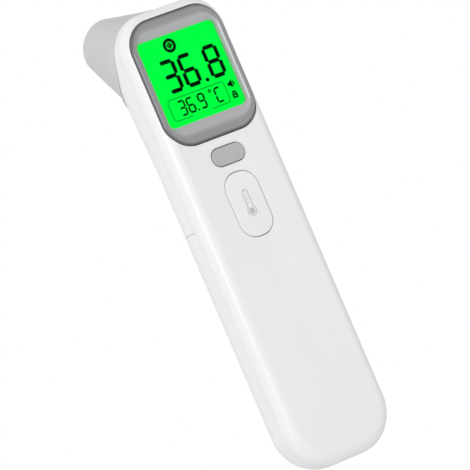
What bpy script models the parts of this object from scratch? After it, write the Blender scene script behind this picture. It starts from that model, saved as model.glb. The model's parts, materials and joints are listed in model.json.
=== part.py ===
"""Dual-mode infrared thermometer, for the forehead and the ear, modelled as its separate pieces.

Frame: metres, +Z up the handle to the head, the display faces -Y, the probe points to +Y.
The origin is in the middle of the handle, where a hand holds it. Depths run back from the
flat front face, and heights run up from the bottom end, until place() turns them into the frame.
"""
import math

import bmesh
import bpy
from mathutils import Matrix, Vector

# ---- driving dimensions (metres) ----
LENGTH = 0.160            # handle and head, bottom end to top
WIDTH = 0.040
DEPTH = 0.0205            # handle, front face to back
GRIP_HEIGHT = 0.060       # height of the origin above the bottom end
OUTLINE_R = 0.0115        # top corners of the outline, seen from the front
BOTTOM_R = 0.0150         # its bottom corners
FRONT_R = 0.0045          # rounding round the front face
BACK_R = 0.0110           # rounding round the back
PARTING_DEPTH = 0.0052    # where the front shell meets the shells behind it
WALL = 0.0018
SPIGOT_WALL = 0.0013      # rear shell inside the cap's skirt
LIP_DEPTH = 0.0010        # how far the front shell's lip enters the shells behind
LIP_WALL = 0.0008
GAP = 0.0003              # clearance between neighbours
SEAM_HEIGHT = 0.0870      # rear shell above, battery cover below
FLARE = 0.0022            # how far the back swells out under the cap
FLARE_RUN = 0.0285        # height over which it swells
FLARE_STEPS = 6

# ---- display ----
DISPLAY_DROP = 0.0245     # display centre below the top
BEZEL_SIZE = (0.0364, 0.0442)
BEZEL_R = 0.0095
BEZEL_OFFSET = -0.0005    # bezel centre above the display centre
BEZEL_RIM = 0.0014        # sloping rim
BEZEL_PROUD = 0.0004      # above the front face
BEZEL_BACK = 0.0026       # depth of its back
WINDOW_SIZE = (0.0300, 0.0295)
WINDOW_R = 0.0020
LENS_DEPTH = 0.0012       # depth of the lens's front
LENS_WALL = 0.0010
LCD_SIZE = (0.0316, 0.0350)
LCD_OFFSET = -0.0010      # its centre above the display centre, for the contacts below
LCD_WALL = 0.0014
BACKLIGHT_SIZE = (0.0300, 0.0290)
BACKLIGHT_WALL = 0.0016
FRAME_WALL = 0.0008
ZEBRA_SIZE = (0.0260, 0.0018)

# ---- buttons and switches ----
MODE_SIZE = (0.0125, 0.0060)
MODE_DROP = 0.0290        # below the display centre
MODE_R = 0.00295
MEASURE_SIZE = (0.0126, 0.0222)
MEASURE_DROP = 0.0464
MEASURE_R = 0.0056
BUTTON_PROUD = 0.0004
FLANGE_RIM = 0.0012       # flange that keeps a button in
FLANGE_WALL = 0.0010
STEM_R = 0.0020
STEM_DROP = 0.0003
SWITCH_SIDE = 0.0060
SWITCH_HEIGHT = 0.0033
PLUNGER_R = 0.0016
PLUNGER_HEIGHT = 0.0024
PLUNGER_BORE = 0.0030

# ---- circuit board ----
BOARD_DEPTH = 0.0080      # depth of its front
BOARD_WALL = 0.0010
BOARD_WIDTH = 0.0310
BOARD_TOP = 0.0130        # above the display centre
BOARD_BOTTOM = 0.0852     # above the bottom end
CHIP_SIDE = 0.0090
CHIP_WALL = 0.0011
CHIP_X = 0.0025           # its left side, and how far its lower side is below the display centre
CHIP_DROP = 0.0080
BUZZER_R = 0.0050
BUZZER_HOLE_R = 0.0010
BUZZER_HEIGHT = 0.0032
BUZZER_X = -0.0060
BUZZER_DROP = 0.0170      # its centre below the display centre
LEAD_R = 0.0006
LEAD_RISE = 0.0030        # straight run of a battery lead above the tray
LEAD_REACH = 0.0070       # how far a lead runs up the board

# ---- cap, probe and sensor, along the probe's axis ----
CAP_TILT = math.radians(24)
CAP_TOP_DEPTH = 0.0097    # where the plane of the cap's seat meets the top of the head
SKIRT_TOP_DEPTH = 0.0068  # how far forward the cap's skirt reaches there
CAP_LENGTH = 0.0330       # from the seat to the flat ring
CAP_TIP_R = 0.0095
CAP_WALL = 0.0015
CAP_MOUTH_R = 0.0065
PROBE_FLANGE_R = 0.0115
PROBE_FLANGE_WALL = 0.0015
PROBE_COLLAR_R = 0.0097
PROBE_COLLAR = 0.0030
PROBE_ROOT_R = 0.0078
PROBE_TIP_R = 0.0043
PROBE_LENGTH = 0.0282
PROBE_WAIST_R = 0.0048    # where the slim front of the probe starts to widen
PROBE_WAIST = 0.0203
PROBE_EASE = 0.0006
PROBE_CAVITY_R = 0.0066
PROBE_CAVITY = 0.0060
PROBE_BORE_R = 0.0027
GUIDE_R = 0.0023
GUIDE_BORE_R = 0.0016
SENSOR_R = 0.0023
SENSOR_RIM_R = 0.0027
SENSOR_HEIGHT = 0.0027
SENSOR_RIM = 0.0004
SENSOR_SEAT = 0.0004      # sensor's back above the cap's seat
HOLDER_BORE_R = 0.0031
HOLDER_SKIRT = 0.0010     # how far the holder reaches behind the sensor
TIP_FILM_R = 0.0030
TIP_FILM_WALL = 0.0004

# ---- batteries ----
CELL_R = 0.00525
CELL_LENGTH = 0.0445
CELL_PITCH = 0.0115
CELL_EASE = 0.0004
NUB_R = 0.0019
NUB_HEIGHT = 0.0008
TRAY_WIDTH = 0.0252
TRAY_BOTTOM = 0.0240
TRAY_DEPTH = 0.0050
TRAY_BACK = 0.0150
TRAY_WALL = 0.0012
PLATE_WALL = 0.0004
SPRING_LENGTH = 0.0066
SPRING_R = 0.0029
SPRING_WIRE_R = 0.00035
SPRING_TURNS = 4
SPRING_STEPS = 12         # steps in one turn
SPRING_TAPER = 0.3        # how much narrower it ends
EAR_OFFSET = 0.0023       # ear's screw, out from the tray's side
EAR_HEIGHT = 0.0500
EAR_R = 0.0021

# ---- screws ----
SCREW_R = 0.0009
SCREW_HEAD_R = 0.0018
SCREW_CROWN_R = 0.00126   # flat top of a screw's head
SCREW_HEAD = 0.0012
SCREW_TIP = 0.0007
SCREW_TIP_R = 0.00036
SCREW_REACH = 0.0036      # how far a screw enters its boss
BOSS_R = 0.0021
BOSS_HOLE_R = SCREW_R + GAP
BOARD_SCREW_X = 0.0125
BOARD_SCREW_DROPS = (0.0265, 0.0435)
TONGUE_SCREW_X = 0.0105
TONGUE_SCREW_HEIGHT = 0.0826
TONGUE_DEPTH = 0.0146     # front of the rear shell's tongue, under the cover
TONGUE_WALL = 0.0014
TONGUE_WIDTH = 0.0260
TONGUE_RISE = 0.0028      # how far it goes up inside the rear shell

CORNER_STEPS = 5
ROUND_STEPS = 32
SMALL_STEPS = 16
CAP_STEPS = 48
CELL_STEPS = 24
EASE_STEPS = 2            # steps of a small rounded edge
SKIRT_STEPS = 16
SKIRT_REACH = 1.08        # how far the skirt's edge is worked out, in drops of the seat
HALVINGS = 40             # rounds of halving when a place on the cap's edge is looked for
SKIRT_SHARES = (0, 0.5, 1)
CONE_SHARES = (0.25, 0.5, 0.75, 1)
INNER_SHARES = (0.95, 0.5, 0.1)

# ---- derived places ----
FRONT_Y = -DEPTH / 2
DISPLAY_Z = LENGTH - DISPLAY_DROP
BEZEL_Z = DISPLAY_Z + BEZEL_OFFSET
MODE_Z = DISPLAY_Z - MODE_DROP
MEASURE_Z = DISPLAY_Z - MEASURE_DROP
BOARD_BACK = BOARD_DEPTH + BOARD_WALL
LCD_DEPTH = BEZEL_BACK + GAP
LCD_Z = DISPLAY_Z + LCD_OFFSET
BACKLIGHT_DEPTH = LCD_DEPTH + LCD_WALL + GAP
FRAME_DEPTH = LCD_DEPTH + LCD_WALL + GAP
FRAME_BACK = BOARD_DEPTH - GAP
FLANGE_DEPTH = WALL + GAP
STEM_DEPTH = FLANGE_DEPTH + FLANGE_WALL + STEM_DROP
TRAY_TOP = TONGUE_SCREW_HEIGHT - BOSS_R - 2 * GAP
TRAY_FLOOR = TRAY_DEPTH + TRAY_WALL
CELL_DEPTH = TRAY_FLOOR + GAP + CELL_R
PLATE_LOW = TRAY_BOTTOM + TRAY_WALL + GAP
PLATE_HIGH = TRAY_TOP - TRAY_WALL - GAP - PLATE_WALL
EAR_X = TRAY_WIDTH / 2 + EAR_OFFSET
AXIS = Vector((0, math.cos(CAP_TILT), math.sin(CAP_TILT)))
SEAT_UP = Vector((0, -math.sin(CAP_TILT), math.cos(CAP_TILT)))
SEAT_HEIGHT = (DEPTH + FLARE - CAP_TOP_DEPTH) / math.sin(CAP_TILT)
SEAT_DROP = SEAT_HEIGHT * math.cos(CAP_TILT)
SPIGOT_INSET = CAP_WALL + GAP

MATERIALS = {
    "white_shell": ((0.86, 0.86, 0.86, 1), 0.35, 0.0),
    "grey_cap": ((0.55, 0.55, 0.56, 1), 0.40, 0.0),
    "silver_bezel": ((0.42, 0.42, 0.43, 1), 0.30, 0.4),
    "button_grey": ((0.50, 0.50, 0.51, 1), 0.40, 0.0),
    "clear_lens": ((0.70, 0.80, 0.75, 1), 0.05, 0.0),
    "lcd_green": ((0.02, 0.90, 0.12, 1), 0.30, 0.0),
    "dark_plastic": ((0.03, 0.03, 0.03, 1), 0.45, 0.0),
    "natural_plastic": ((0.75, 0.74, 0.70, 1), 0.50, 0.0),
    "board_green": ((0.02, 0.20, 0.07, 1), 0.45, 0.0),
    "steel": ((0.62, 0.62, 0.63, 1), 0.28, 1.0),
    "gold_plate": ((0.83, 0.62, 0.26, 1), 0.22, 1.0),
    "rubber_grey": ((0.10, 0.10, 0.11, 1), 0.80, 0.0),
    "cell_jacket": ((0.05, 0.06, 0.07, 1), 0.30, 0.2),
    "red_lead": ((0.60, 0.03, 0.02, 1), 0.50, 0.0),
    "black_lead": ((0.02, 0.02, 0.02, 1), 0.50, 0.0),
}


def place(x, depth, height):
    """The point at x, a depth behind the front face and a height above the bottom end."""
    return Vector((x, FRONT_Y + depth, height - GRIP_HEIGHT))


SEAT_TOP = place(0, CAP_TOP_DEPTH, LENGTH)
SEAT_CENTRE = SEAT_TOP - SEAT_UP * (SEAT_HEIGHT / 2)


def seat_matrix():
    """Local Z along the probe's axis, local Y up the cap's seat, origin at the seat's centre."""
    across = Vector((-1, 0, 0))
    turn = Matrix((across, SEAT_UP, AXIS)).transposed().to_4x4()
    return Matrix.Translation(SEAT_CENTRE) @ turn


def back_matrix(x, depth, height):
    """Local Z straight back, origin at a place in the object."""
    turn = Matrix((Vector((1, 0, 0)), Vector((0, 0, -1)), Vector((0, 1, 0)))).transposed().to_4x4()
    return Matrix.Translation(place(x, depth, height)) @ turn


def up_matrix(x, depth, height):
    return Matrix.Translation(place(x, depth, height))


def start_scene():
    for old in list(bpy.data.objects):
        bpy.data.objects.remove(old)
    groups = []
    for name in ("infrared_thermometer", "cutters"):
        group = bpy.data.collections.new(name)
        bpy.context.scene.collection.children.link(group)
        groups.append(group)
    return groups


PARTS, CUTTERS = start_scene()


def material(name):
    made = bpy.data.materials.get(name)
    if made:
        return made
    colour, roughness, metallic = MATERIALS[name]
    made = bpy.data.materials.new(name)
    made.use_nodes = True
    shader = made.node_tree.nodes["Principled BSDF"]
    shader.inputs["Base Color"].default_value = colour
    shader.inputs["Roughness"].default_value = roughness
    shader.inputs["Metallic"].default_value = metallic
    made.diffuse_color = colour
    return made


def add_object(name, mesh, finish, matrix=None):
    """Link a mesh as a part, or as a cutter where it has no finish."""
    piece = bpy.data.objects.new(name, mesh)
    if finish:
        PARTS.objects.link(piece)
        mesh.materials.append(material(finish))
    else:
        CUTTERS.objects.link(piece)
        piece.hide_render = True
        piece.display_type = 'WIRE'
    if matrix:
        piece.matrix_world = matrix
    return piece


def mesh_from(bm, name):
    bmesh.ops.recalc_face_normals(bm, faces=bm.faces[:])
    mesh = bpy.data.meshes.new(name)
    bm.to_mesh(mesh)
    bm.free()
    mesh.shade_smooth()
    mesh.set_sharp_from_angle(angle=math.radians(35))
    return mesh


def rounded_outline(size, top_radius, bottom_radius=None, steps=CORNER_STEPS):
    """Points (x, z) round a rectangle with rounded corners, centred on zero."""
    half_x, half_z = size[0] / 2, size[1] / 2
    points = []
    for corner, (sign_x, sign_z) in enumerate(((1, 1), (-1, 1), (-1, -1), (1, -1))):
        radius = bottom_radius if bottom_radius and sign_z < 0 else top_radius
        radius = max(min(radius, half_x - 1e-4, half_z - 1e-4), 1e-4)
        for step in range(steps + 1):
            turn = math.radians(90) * (corner + step / steps)
            x = sign_x * (half_x - radius) + radius * math.cos(turn)
            z = sign_z * (half_z - radius) + radius * math.sin(turn)
            points.append((x, z))
    return points


def loft(name, rings, finish, ring_closed=False, matrix=None):
    """Faces from ring to ring. The ends are capped, or the last ring meets the first."""
    bm = bmesh.new()
    loops = [[bm.verts.new(point) for point in ring] for ring in rings]
    count = len(rings[0])
    pairs = list(zip(loops, loops[1:]))
    if ring_closed:
        pairs.append((loops[-1], loops[0]))
    else:
        bm.faces.new(loops[0])
        bm.faces.new(loops[-1])
    for low, high in pairs:
        for i in range(count):
            j = (i + 1) % count
            bm.faces.new((low[i], low[j], high[j], high[i]))
    return add_object(name, mesh_from(bm, name), finish, matrix)


def plate_ring(size, radius, depth, height, inset=0.0):
    """A rounded rectangle facing the front, drawn in by inset, at a depth and centred on a height."""
    drawn_in = (size[0] - 2 * inset, size[1] - 2 * inset)
    return [place(x, depth, height + z) for x, z in rounded_outline(drawn_in, radius - inset)]


def plate(name, size, radius, depth, wall, height, finish):
    """A flat rounded plate that faces the front."""
    rings = [plate_ring(size, radius, depth, height), plate_ring(size, radius, depth + wall, height)]
    return loft(name, rings, finish)


def body_ring(inset, depth):
    """The body's outline, drawn in by inset, at a depth."""
    size = (WIDTH - 2 * inset, LENGTH - 2 * inset)
    corners = rounded_outline(size, OUTLINE_R - inset, BOTTOM_R - inset)
    return [place(x, depth, LENGTH / 2 + z) for x, z in corners]


def turned(name, profile, finish, matrix, steps=ROUND_STEPS):
    """A profile of (radius, height) points, down the outer side, turned about local Z."""
    mesh = bpy.data.meshes.new(name)
    count = len(profile)
    open_profile = profile[0][0] == 0 and profile[-1][0] == 0
    edges = [(i, i + 1) for i in range(count - 1)]
    if not open_profile:
        edges.append((count - 1, 0))
    mesh.from_pydata([(radius, 0, height) for radius, height in profile], edges, [])
    piece = add_object(name, mesh, finish, matrix)
    screw = piece.modifiers.new("turn", 'SCREW')
    screw.steps = steps
    screw.render_steps = steps
    screw.use_merge_vertices = True
    screw.merge_threshold = 0.00001
    return piece


def box(name, low, high, finish):
    """A box between two corners given as (x, depth, height)."""
    bm = bmesh.new()
    bmesh.ops.create_cube(bm, size=1.0)
    low_point, high_point = place(*low), place(*high)
    bmesh.ops.scale(bm, vec=high_point - low_point, verts=bm.verts[:])
    bmesh.ops.translate(bm, vec=(low_point + high_point) / 2, verts=bm.verts[:])
    return add_object(name, mesh_from(bm, name), finish)


def cylinder(name, radius, length, matrix, steps=SMALL_STEPS):
    """A cutter or a boss to be joined, standing on its local origin."""
    bm = bmesh.new()
    bmesh.ops.create_cone(bm, cap_ends=True, segments=steps, radius1=radius, radius2=radius, depth=length)
    bmesh.ops.translate(bm, vec=(0, 0, length / 2), verts=bm.verts[:])
    return add_object(name, mesh_from(bm, name), None, matrix)


def combine(piece, other, operation):
    step = piece.modifiers.new(other.name, 'BOOLEAN')
    step.operation = operation
    step.solver = 'EXACT'
    step.object = other


def cut(piece, other):
    combine(piece, other, 'DIFFERENCE')


def fuse(piece, other):
    combine(piece, other, 'UNION')


def tube(name, route, radius, finish, steps=2):
    """A round wire along a smooth route of points."""
    curve = bpy.data.curves.new(name, 'CURVE')
    curve.dimensions = '3D'
    curve.bevel_depth = radius
    curve.bevel_resolution = steps
    curve.use_fill_caps = True
    spline = curve.splines.new('POLY')
    spline.points.add(len(route) - 1)
    for point, where in zip(spline.points, route):
        point.co = (*where, 1)
    curve.materials.append(material(finish))
    piece = bpy.data.objects.new(name, curve)
    PARTS.objects.link(piece)
    return piece


def smooth_route(points, steps=5):
    """Catmull-Rom curve through the points."""
    ends = [points[0] * 2 - points[1]] + points + [points[-1] * 2 - points[-2]]
    route = []
    for a, b, c, d in zip(ends, ends[1:], ends[2:], ends[3:]):
        for step in range(steps):
            t = step / steps
            route.append(0.5 * ((2 * b) + (c - a) * t + (2 * a - 5 * b + 4 * c - d) * t ** 2
                                + (3 * b - a - 3 * c + d) * t ** 3))
    route.append(points[-1])
    return route


def rounding(radius, steps=CORNER_STEPS):
    """Pairs (inset, run) from the flat face to the side of a rounded edge."""
    turns = [math.radians(90) * step / steps for step in range(steps + 1)]
    return [(radius * (1 - math.sin(turn)), radius * (1 - math.cos(turn))) for turn in turns]


# ---- shells ----
def boss(piece, x, height, back):
    """A screw boss that stands on the inside of the front shell."""
    start = WALL - GAP
    name = f"boss_{len(CUTTERS.objects)}"
    fuse(piece, cylinder(name, BOSS_R, back - start, back_matrix(x, start, height)))
    depth = SCREW_REACH + GAP
    cut(piece, cylinder(name + "_hole", BOSS_HOLE_R, depth, back_matrix(x, back - depth + 1e-4, height)))


def front_shell():
    outer = [body_ring(inset, run) for inset, run in rounding(FRONT_R)]
    outer.append(body_ring(0, PARTING_DEPTH))
    lip = WALL - LIP_WALL
    outer += [body_ring(lip, PARTING_DEPTH), body_ring(lip, PARTING_DEPTH + LIP_DEPTH)]
    outer.append(body_ring(WALL, PARTING_DEPTH + LIP_DEPTH))
    inner = [body_ring(WALL + inset, WALL + run) for inset, run in reversed(rounding(FRONT_R - WALL, 3))]
    shell = loft("front_shell", outer + inner, "white_shell")
    for name, size, radius, height in (("bezel_hole", BEZEL_SIZE, BEZEL_R, BEZEL_Z),
                                       ("mode_hole", MODE_SIZE, MODE_R, MODE_Z),
                                       ("measure_hole", MEASURE_SIZE, MEASURE_R, MEASURE_Z)):
        rings = [plate_ring(size, radius, depth, height, -GAP) for depth in (-WALL, PARTING_DEPTH - LIP_DEPTH)]
        cut(shell, loft(name, rings, None))
    for side in (-1, 1):
        for drop in BOARD_SCREW_DROPS:
            boss(shell, side * BOARD_SCREW_X, DISPLAY_Z - drop, BOARD_DEPTH - GAP)
        boss(shell, side * TONGUE_SCREW_X, TONGUE_SCREW_HEIGHT, TONGUE_DEPTH - GAP)
        boss(shell, side * EAR_X, EAR_HEIGHT, TRAY_DEPTH - GAP)
    return shell


def flare_back(piece):
    """Swell the back out below the cap, more towards the back."""
    bm = bmesh.new()
    bm.from_mesh(piece.data)
    start = place(0, 0, DISPLAY_Z - FLARE_RUN).z
    for step in range(FLARE_STEPS + 1):
        level = Vector((0, 0, start + FLARE_RUN * step / FLARE_STEPS))
        geometry = bm.verts[:] + bm.edges[:] + bm.faces[:]
        bmesh.ops.bisect_plane(bm, geom=geometry, dist=1e-6, plane_co=level, plane_no=(0, 0, 1))
    for vert in bm.verts:
        rise = min(max((vert.co.z - start) / FLARE_RUN, 0), 1)
        back = max((vert.co.y - FRONT_Y - PARTING_DEPTH) / (DEPTH - PARTING_DEPTH), 0)
        vert.co.y += FLARE * rise * rise * (3 - 2 * rise) * min(back, 1)
    bm.to_mesh(piece.data)
    bm.free()


def clear_side(piece, point, normal):
    """Cut a closed solid by a plane and keep the side that the normal points away from."""
    bm = bmesh.new()
    bm.from_mesh(piece.data)
    geometry = bm.verts[:] + bm.edges[:] + bm.faces[:]
    result = bmesh.ops.bisect_plane(bm, geom=geometry, dist=1e-6, plane_co=point, plane_no=normal,
                                    clear_outer=True)
    edges = [item for item in result["geom_cut"] if isinstance(item, bmesh.types.BMEdge)]
    bmesh.ops.contextual_create(bm, geom=edges)
    bmesh.ops.recalc_face_normals(bm, faces=bm.faces[:])
    bm.to_mesh(piece.data)
    bm.free()


def rear_form(name, finish, inset, start):
    """The closed form behind the parting line, drawn in by inset, starting at a depth."""
    rings = [body_ring(inset, start), body_ring(inset, DEPTH - BACK_R)]
    for edge_inset, run in reversed(rounding(BACK_R - inset)[:-1]):
        rings.append(body_ring(inset + edge_inset, DEPTH - inset - run))
    piece = loft(name, rings, finish)
    flare_back(piece)
    return piece


def rabbet_form(name):
    """Room for the front shell's lip round the inside of the shells behind it."""
    inset = WALL - LIP_WALL - GAP
    low, high = PARTING_DEPTH - GAP, PARTING_DEPTH + LIP_DEPTH + GAP
    return loft(name, [body_ring(inset, low), body_ring(inset, high)], None)


def skirt_depth(height, share):
    """Depth of the cap's edge at a height: 0 is the skirt's curved edge, 1 the seat's plane."""
    drop = (LENGTH - height) / SEAT_DROP
    curved = SKIRT_TOP_DEPTH + (DEPTH + FLARE - SKIRT_TOP_DEPTH) * max(drop, 0) ** 2
    plane = CAP_TOP_DEPTH + (DEPTH + FLARE - CAP_TOP_DEPTH) * drop
    return curved + (plane - curved) * share


def skirt_room(name, forward, finish=None):
    """Everything behind the skirt's curved edge, brought forward by a distance."""
    reach = 2 * DEPTH
    outline = []
    for step in range(SKIRT_STEPS + 1):
        height = LENGTH + WALL - (SEAT_DROP * SKIRT_REACH + WALL) * step / SKIRT_STEPS
        outline.append((skirt_depth(height, 0) - forward, height))
    outline += [(reach + DEPTH, outline[-1][1]), (reach + DEPTH, outline[0][1])]
    rings = [[place(x, depth, height) for depth, height in outline] for x in (-WIDTH, WIDTH)]
    return loft(name, rings, finish)


def rear_shell():
    shell = rear_form("rear_shell", "white_shell", 0, PARTING_DEPTH + GAP)
    seam = place(0, 0, SEAM_HEIGHT + GAP / 2)
    clear_side(shell, seam, Vector((0, 0, -1)))
    cut(shell, skirt_room("skirt_room", 0))
    spigot = rear_form("spigot", None, SPIGOT_INSET, PARTING_DEPTH + GAP)
    clear_side(spigot, SEAT_CENTRE, AXIS)
    clear_side(spigot, place(0, 0, LENGTH - SEAT_DROP - WALL), Vector((0, 0, -1)))
    fuse(shell, spigot)
    hollow = rear_form("rear_hollow", None, WALL, PARTING_DEPTH - GAP)
    cut(hollow, skirt_room("skirt_wall", SPIGOT_WALL))
    cut(shell, hollow)
    spigot_hollow = rear_form("spigot_hollow", None, SPIGOT_INSET + SPIGOT_WALL, PARTING_DEPTH - GAP)
    clear_side(spigot_hollow, SEAT_CENTRE - AXIS * WALL, AXIS)
    cut(shell, spigot_hollow)
    cut(shell, rabbet_form("rear_rabbet"))
    seat = seat_matrix() @ Matrix.Translation((0, 0, -2 * WALL))
    cut(shell, cylinder("probe_hole", PROBE_COLLAR_R + GAP, 4 * WALL, seat, ROUND_STEPS))
    back = DEPTH - WALL / 2
    half = TONGUE_WIDTH / 2
    low = TONGUE_SCREW_HEIGHT - BOSS_R
    fuse(shell, box("tongue", (-half, TONGUE_DEPTH, low),
                    (half, TONGUE_DEPTH + TONGUE_WALL, SEAM_HEIGHT + TONGUE_RISE), None))
    fuse(shell, box("tongue_web", (-half, TONGUE_DEPTH + TONGUE_WALL / 2, SEAM_HEIGHT + GAP),
                    (half, back, SEAM_HEIGHT + TONGUE_RISE - GAP / 2), None))
    for side in (-1, 1):
        spot = back_matrix(side * TONGUE_SCREW_X, TONGUE_DEPTH - GAP, TONGUE_SCREW_HEIGHT)
        cut(shell, cylinder(f"tongue_hole_{side + 1}", BOSS_HOLE_R, TONGUE_WALL + 2 * GAP, spot))
    return shell


def battery_cover():
    cover = rear_form("battery_cover", "white_shell", 0, PARTING_DEPTH + GAP)
    seam = place(0, 0, SEAM_HEIGHT - GAP / 2)
    clear_side(cover, seam, Vector((0, 0, 1)))
    hollow = rear_form("cover_hollow", None, WALL, PARTING_DEPTH - GAP)
    cut(cover, hollow)
    cut(cover, rabbet_form("cover_rabbet"))
    return cover


# ---- display ----
def display_bezel():
    rings = [plate_ring(BEZEL_SIZE, BEZEL_R, BEZEL_BACK, BEZEL_Z)]
    rings += [plate_ring(BEZEL_SIZE, BEZEL_R, run - BEZEL_PROUD, BEZEL_Z, inset)
              for inset, run in reversed(rounding(BEZEL_RIM, EASE_STEPS))]
    rings += [plate_ring(WINDOW_SIZE, WINDOW_R, depth, DISPLAY_Z, -GAP) for depth in (0, BEZEL_BACK)]
    return loft("display_bezel", rings, "silver_bezel", ring_closed=True)


def display_stack():
    plate("display_lens", WINDOW_SIZE, WINDOW_R, LENS_DEPTH, LENS_WALL, DISPLAY_Z, "clear_lens")
    plate("lcd_panel", LCD_SIZE, 0.0005, LCD_DEPTH, LCD_WALL, LCD_Z, "lcd_green")
    plate("lcd_backlight", BACKLIGHT_SIZE, 0.0005, BACKLIGHT_DEPTH, BACKLIGHT_WALL, DISPLAY_Z,
          "natural_plastic")
    inner = (BACKLIGHT_SIZE[0] + 2 * GAP, LCD_SIZE[1] - 2 * FRAME_WALL)
    rings = [plate_ring(LCD_SIZE, 0.001, depth, LCD_Z) for depth in (FRAME_DEPTH, FRAME_BACK)]
    rings += [plate_ring(inner, 0.0005, depth, LCD_Z) for depth in (FRAME_BACK, FRAME_DEPTH)]
    loft("lcd_frame", rings, "dark_plastic", ring_closed=True)
    low = DISPLAY_Z - BACKLIGHT_SIZE[1] / 2 - GAP - ZEBRA_SIZE[1]
    half = ZEBRA_SIZE[0] / 2
    box("zebra_strip", (-half, BACKLIGHT_DEPTH, low), (half, FRAME_BACK, low + ZEBRA_SIZE[1]), "rubber_grey")


# ---- buttons ----
def button(name, size, radius, height, finish):
    """A moulded key: rounded face, flange behind the shell, and a stem over its switch."""
    flange = (size[0] + 2 * FLANGE_RIM, size[1] + 2 * FLANGE_RIM)
    flange_back = FLANGE_DEPTH + FLANGE_WALL
    stem = (2 * STEM_R, 2 * STEM_R)
    rings = [plate_ring(size, radius, run - BUTTON_PROUD, height, inset)
             for inset, run in rounding(BUTTON_PROUD, EASE_STEPS)]
    rings += [plate_ring(size, radius, FLANGE_DEPTH, height),
              plate_ring(flange, radius + FLANGE_RIM, FLANGE_DEPTH, height),
              plate_ring(flange, radius + FLANGE_RIM, flange_back, height),
              plate_ring(stem, STEM_R, flange_back, height), plate_ring(stem, STEM_R, STEM_DEPTH, height)]
    return loft(name, rings, finish)


def tactile_switch(prefix, height):
    """A square switch body with a bored top, and the plunger that stands in it."""
    half = SWITCH_SIDE / 2
    back = BOARD_DEPTH - GAP
    body = box(prefix + "_switch", (-half, back - SWITCH_HEIGHT, height - half),
               (half, back, height + half), "dark_plastic")
    bore = back_matrix(0, back - SWITCH_HEIGHT - GAP, height)
    cut(body, cylinder(prefix + "_bore", PLUNGER_R + GAP, PLUNGER_BORE, bore))
    profile = [(0, PLUNGER_HEIGHT), (PLUNGER_R, PLUNGER_HEIGHT), (PLUNGER_R, 0), (0, 0)]
    matrix = back_matrix(0, STEM_DEPTH + GAP, height)
    turned(prefix + "_plunger", profile, "natural_plastic", matrix, SMALL_STEPS)


# ---- circuit board ----
def circuit_board():
    low, high = BOARD_BOTTOM, DISPLAY_Z + BOARD_TOP
    board = plate("main_board", (BOARD_WIDTH, high - low), 0.001, BOARD_DEPTH, BOARD_WALL,
                  (low + high) / 2, "board_green")
    for side in (-1, 1):
        for index, drop in enumerate(BOARD_SCREW_DROPS):
            spot = back_matrix(side * BOARD_SCREW_X, BOARD_DEPTH - GAP, DISPLAY_Z - drop)
            hole = cylinder(f"board_hole_{side + 1}_{index}", BOSS_HOLE_R, BOARD_WALL + 2 * GAP, spot)
            cut(board, hole)
    chip_low = DISPLAY_Z - CHIP_DROP
    box("control_chip", (CHIP_X, BOARD_BACK + GAP, chip_low),
        (CHIP_X + CHIP_SIDE, BOARD_BACK + GAP + CHIP_WALL, chip_low + CHIP_SIDE), "dark_plastic")
    profile = [(0, BUZZER_HEIGHT / 2), (BUZZER_HOLE_R, BUZZER_HEIGHT / 2), (BUZZER_HOLE_R, BUZZER_HEIGHT),
               (BUZZER_R, BUZZER_HEIGHT), (BUZZER_R, 0), (0, 0)]
    spot = back_matrix(BUZZER_X, BOARD_BACK + GAP, DISPLAY_Z - BUZZER_DROP)
    turned("buzzer", profile, "dark_plastic", spot)


def screw(name, matrix):
    """A pan-head screw that drives along minus local Z, head at the origin."""
    reach = SCREW_REACH
    profile = [(0, SCREW_HEAD), (SCREW_CROWN_R, SCREW_HEAD), (SCREW_HEAD_R, SCREW_HEAD / 2),
               (SCREW_HEAD_R, 0), (SCREW_R, 0), (SCREW_R, SCREW_TIP - reach), (SCREW_TIP_R, -reach), (0, -reach)]
    turned(name, profile, "steel", matrix, SMALL_STEPS)


def screws():
    number = 0
    for side in (-1, 1):
        for drop in BOARD_SCREW_DROPS:
            number += 1
            spot = back_matrix(side * BOARD_SCREW_X, BOARD_BACK + GAP, DISPLAY_Z - drop)
            screw(f"board_screw_{number}", spot)
        label = 1 if side < 0 else 2
        back = TONGUE_DEPTH + TONGUE_WALL + GAP
        screw(f"shell_screw_{label}", back_matrix(side * TONGUE_SCREW_X, back, TONGUE_SCREW_HEIGHT))
        screw(f"tray_screw_{label}", back_matrix(side * EAR_X, TRAY_FLOOR + GAP, EAR_HEIGHT))


# ---- cap, probe and sensor ----
def seat_point(across, up, share):
    """The point of the cap's edge surface that stands over a place in the seat's plane."""
    low, high = -WIDTH, WIDTH
    for _ in range(HALVINGS):
        height = (low + high) / 2
        point = SEAT_CENTRE + Vector((across, 0, 0)) + SEAT_UP * up + AXIS * height
        behind = point.y - FRONT_Y > skirt_depth(point.z + GRIP_HEIGHT, share)
        low, high = (low, height) if behind else (height, high)
    return across, up, low


def outside_body(point):
    """Whether a point lies outside the outer form of the handle and head."""
    depth = point.y - FRONT_Y
    height = point.z + GRIP_HEIGHT
    rise = min(max((height - (DISPLAY_Z - FLARE_RUN)) / FLARE_RUN, 0), 1)
    back = DEPTH + FLARE * rise * rise * (3 - 2 * rise)
    run = max(depth - (back - BACK_R), 0)
    if run >= BACK_R:
        return True
    inset = BACK_R - math.sqrt(BACK_R ** 2 - run ** 2)
    radius = max(OUTLINE_R - inset, 0)
    past_x = max(abs(point.x) - (WIDTH / 2 - inset - radius), 0)
    past_z = max(height - (LENGTH - inset - radius), 0)
    return math.hypot(past_x, past_z) > radius


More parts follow.
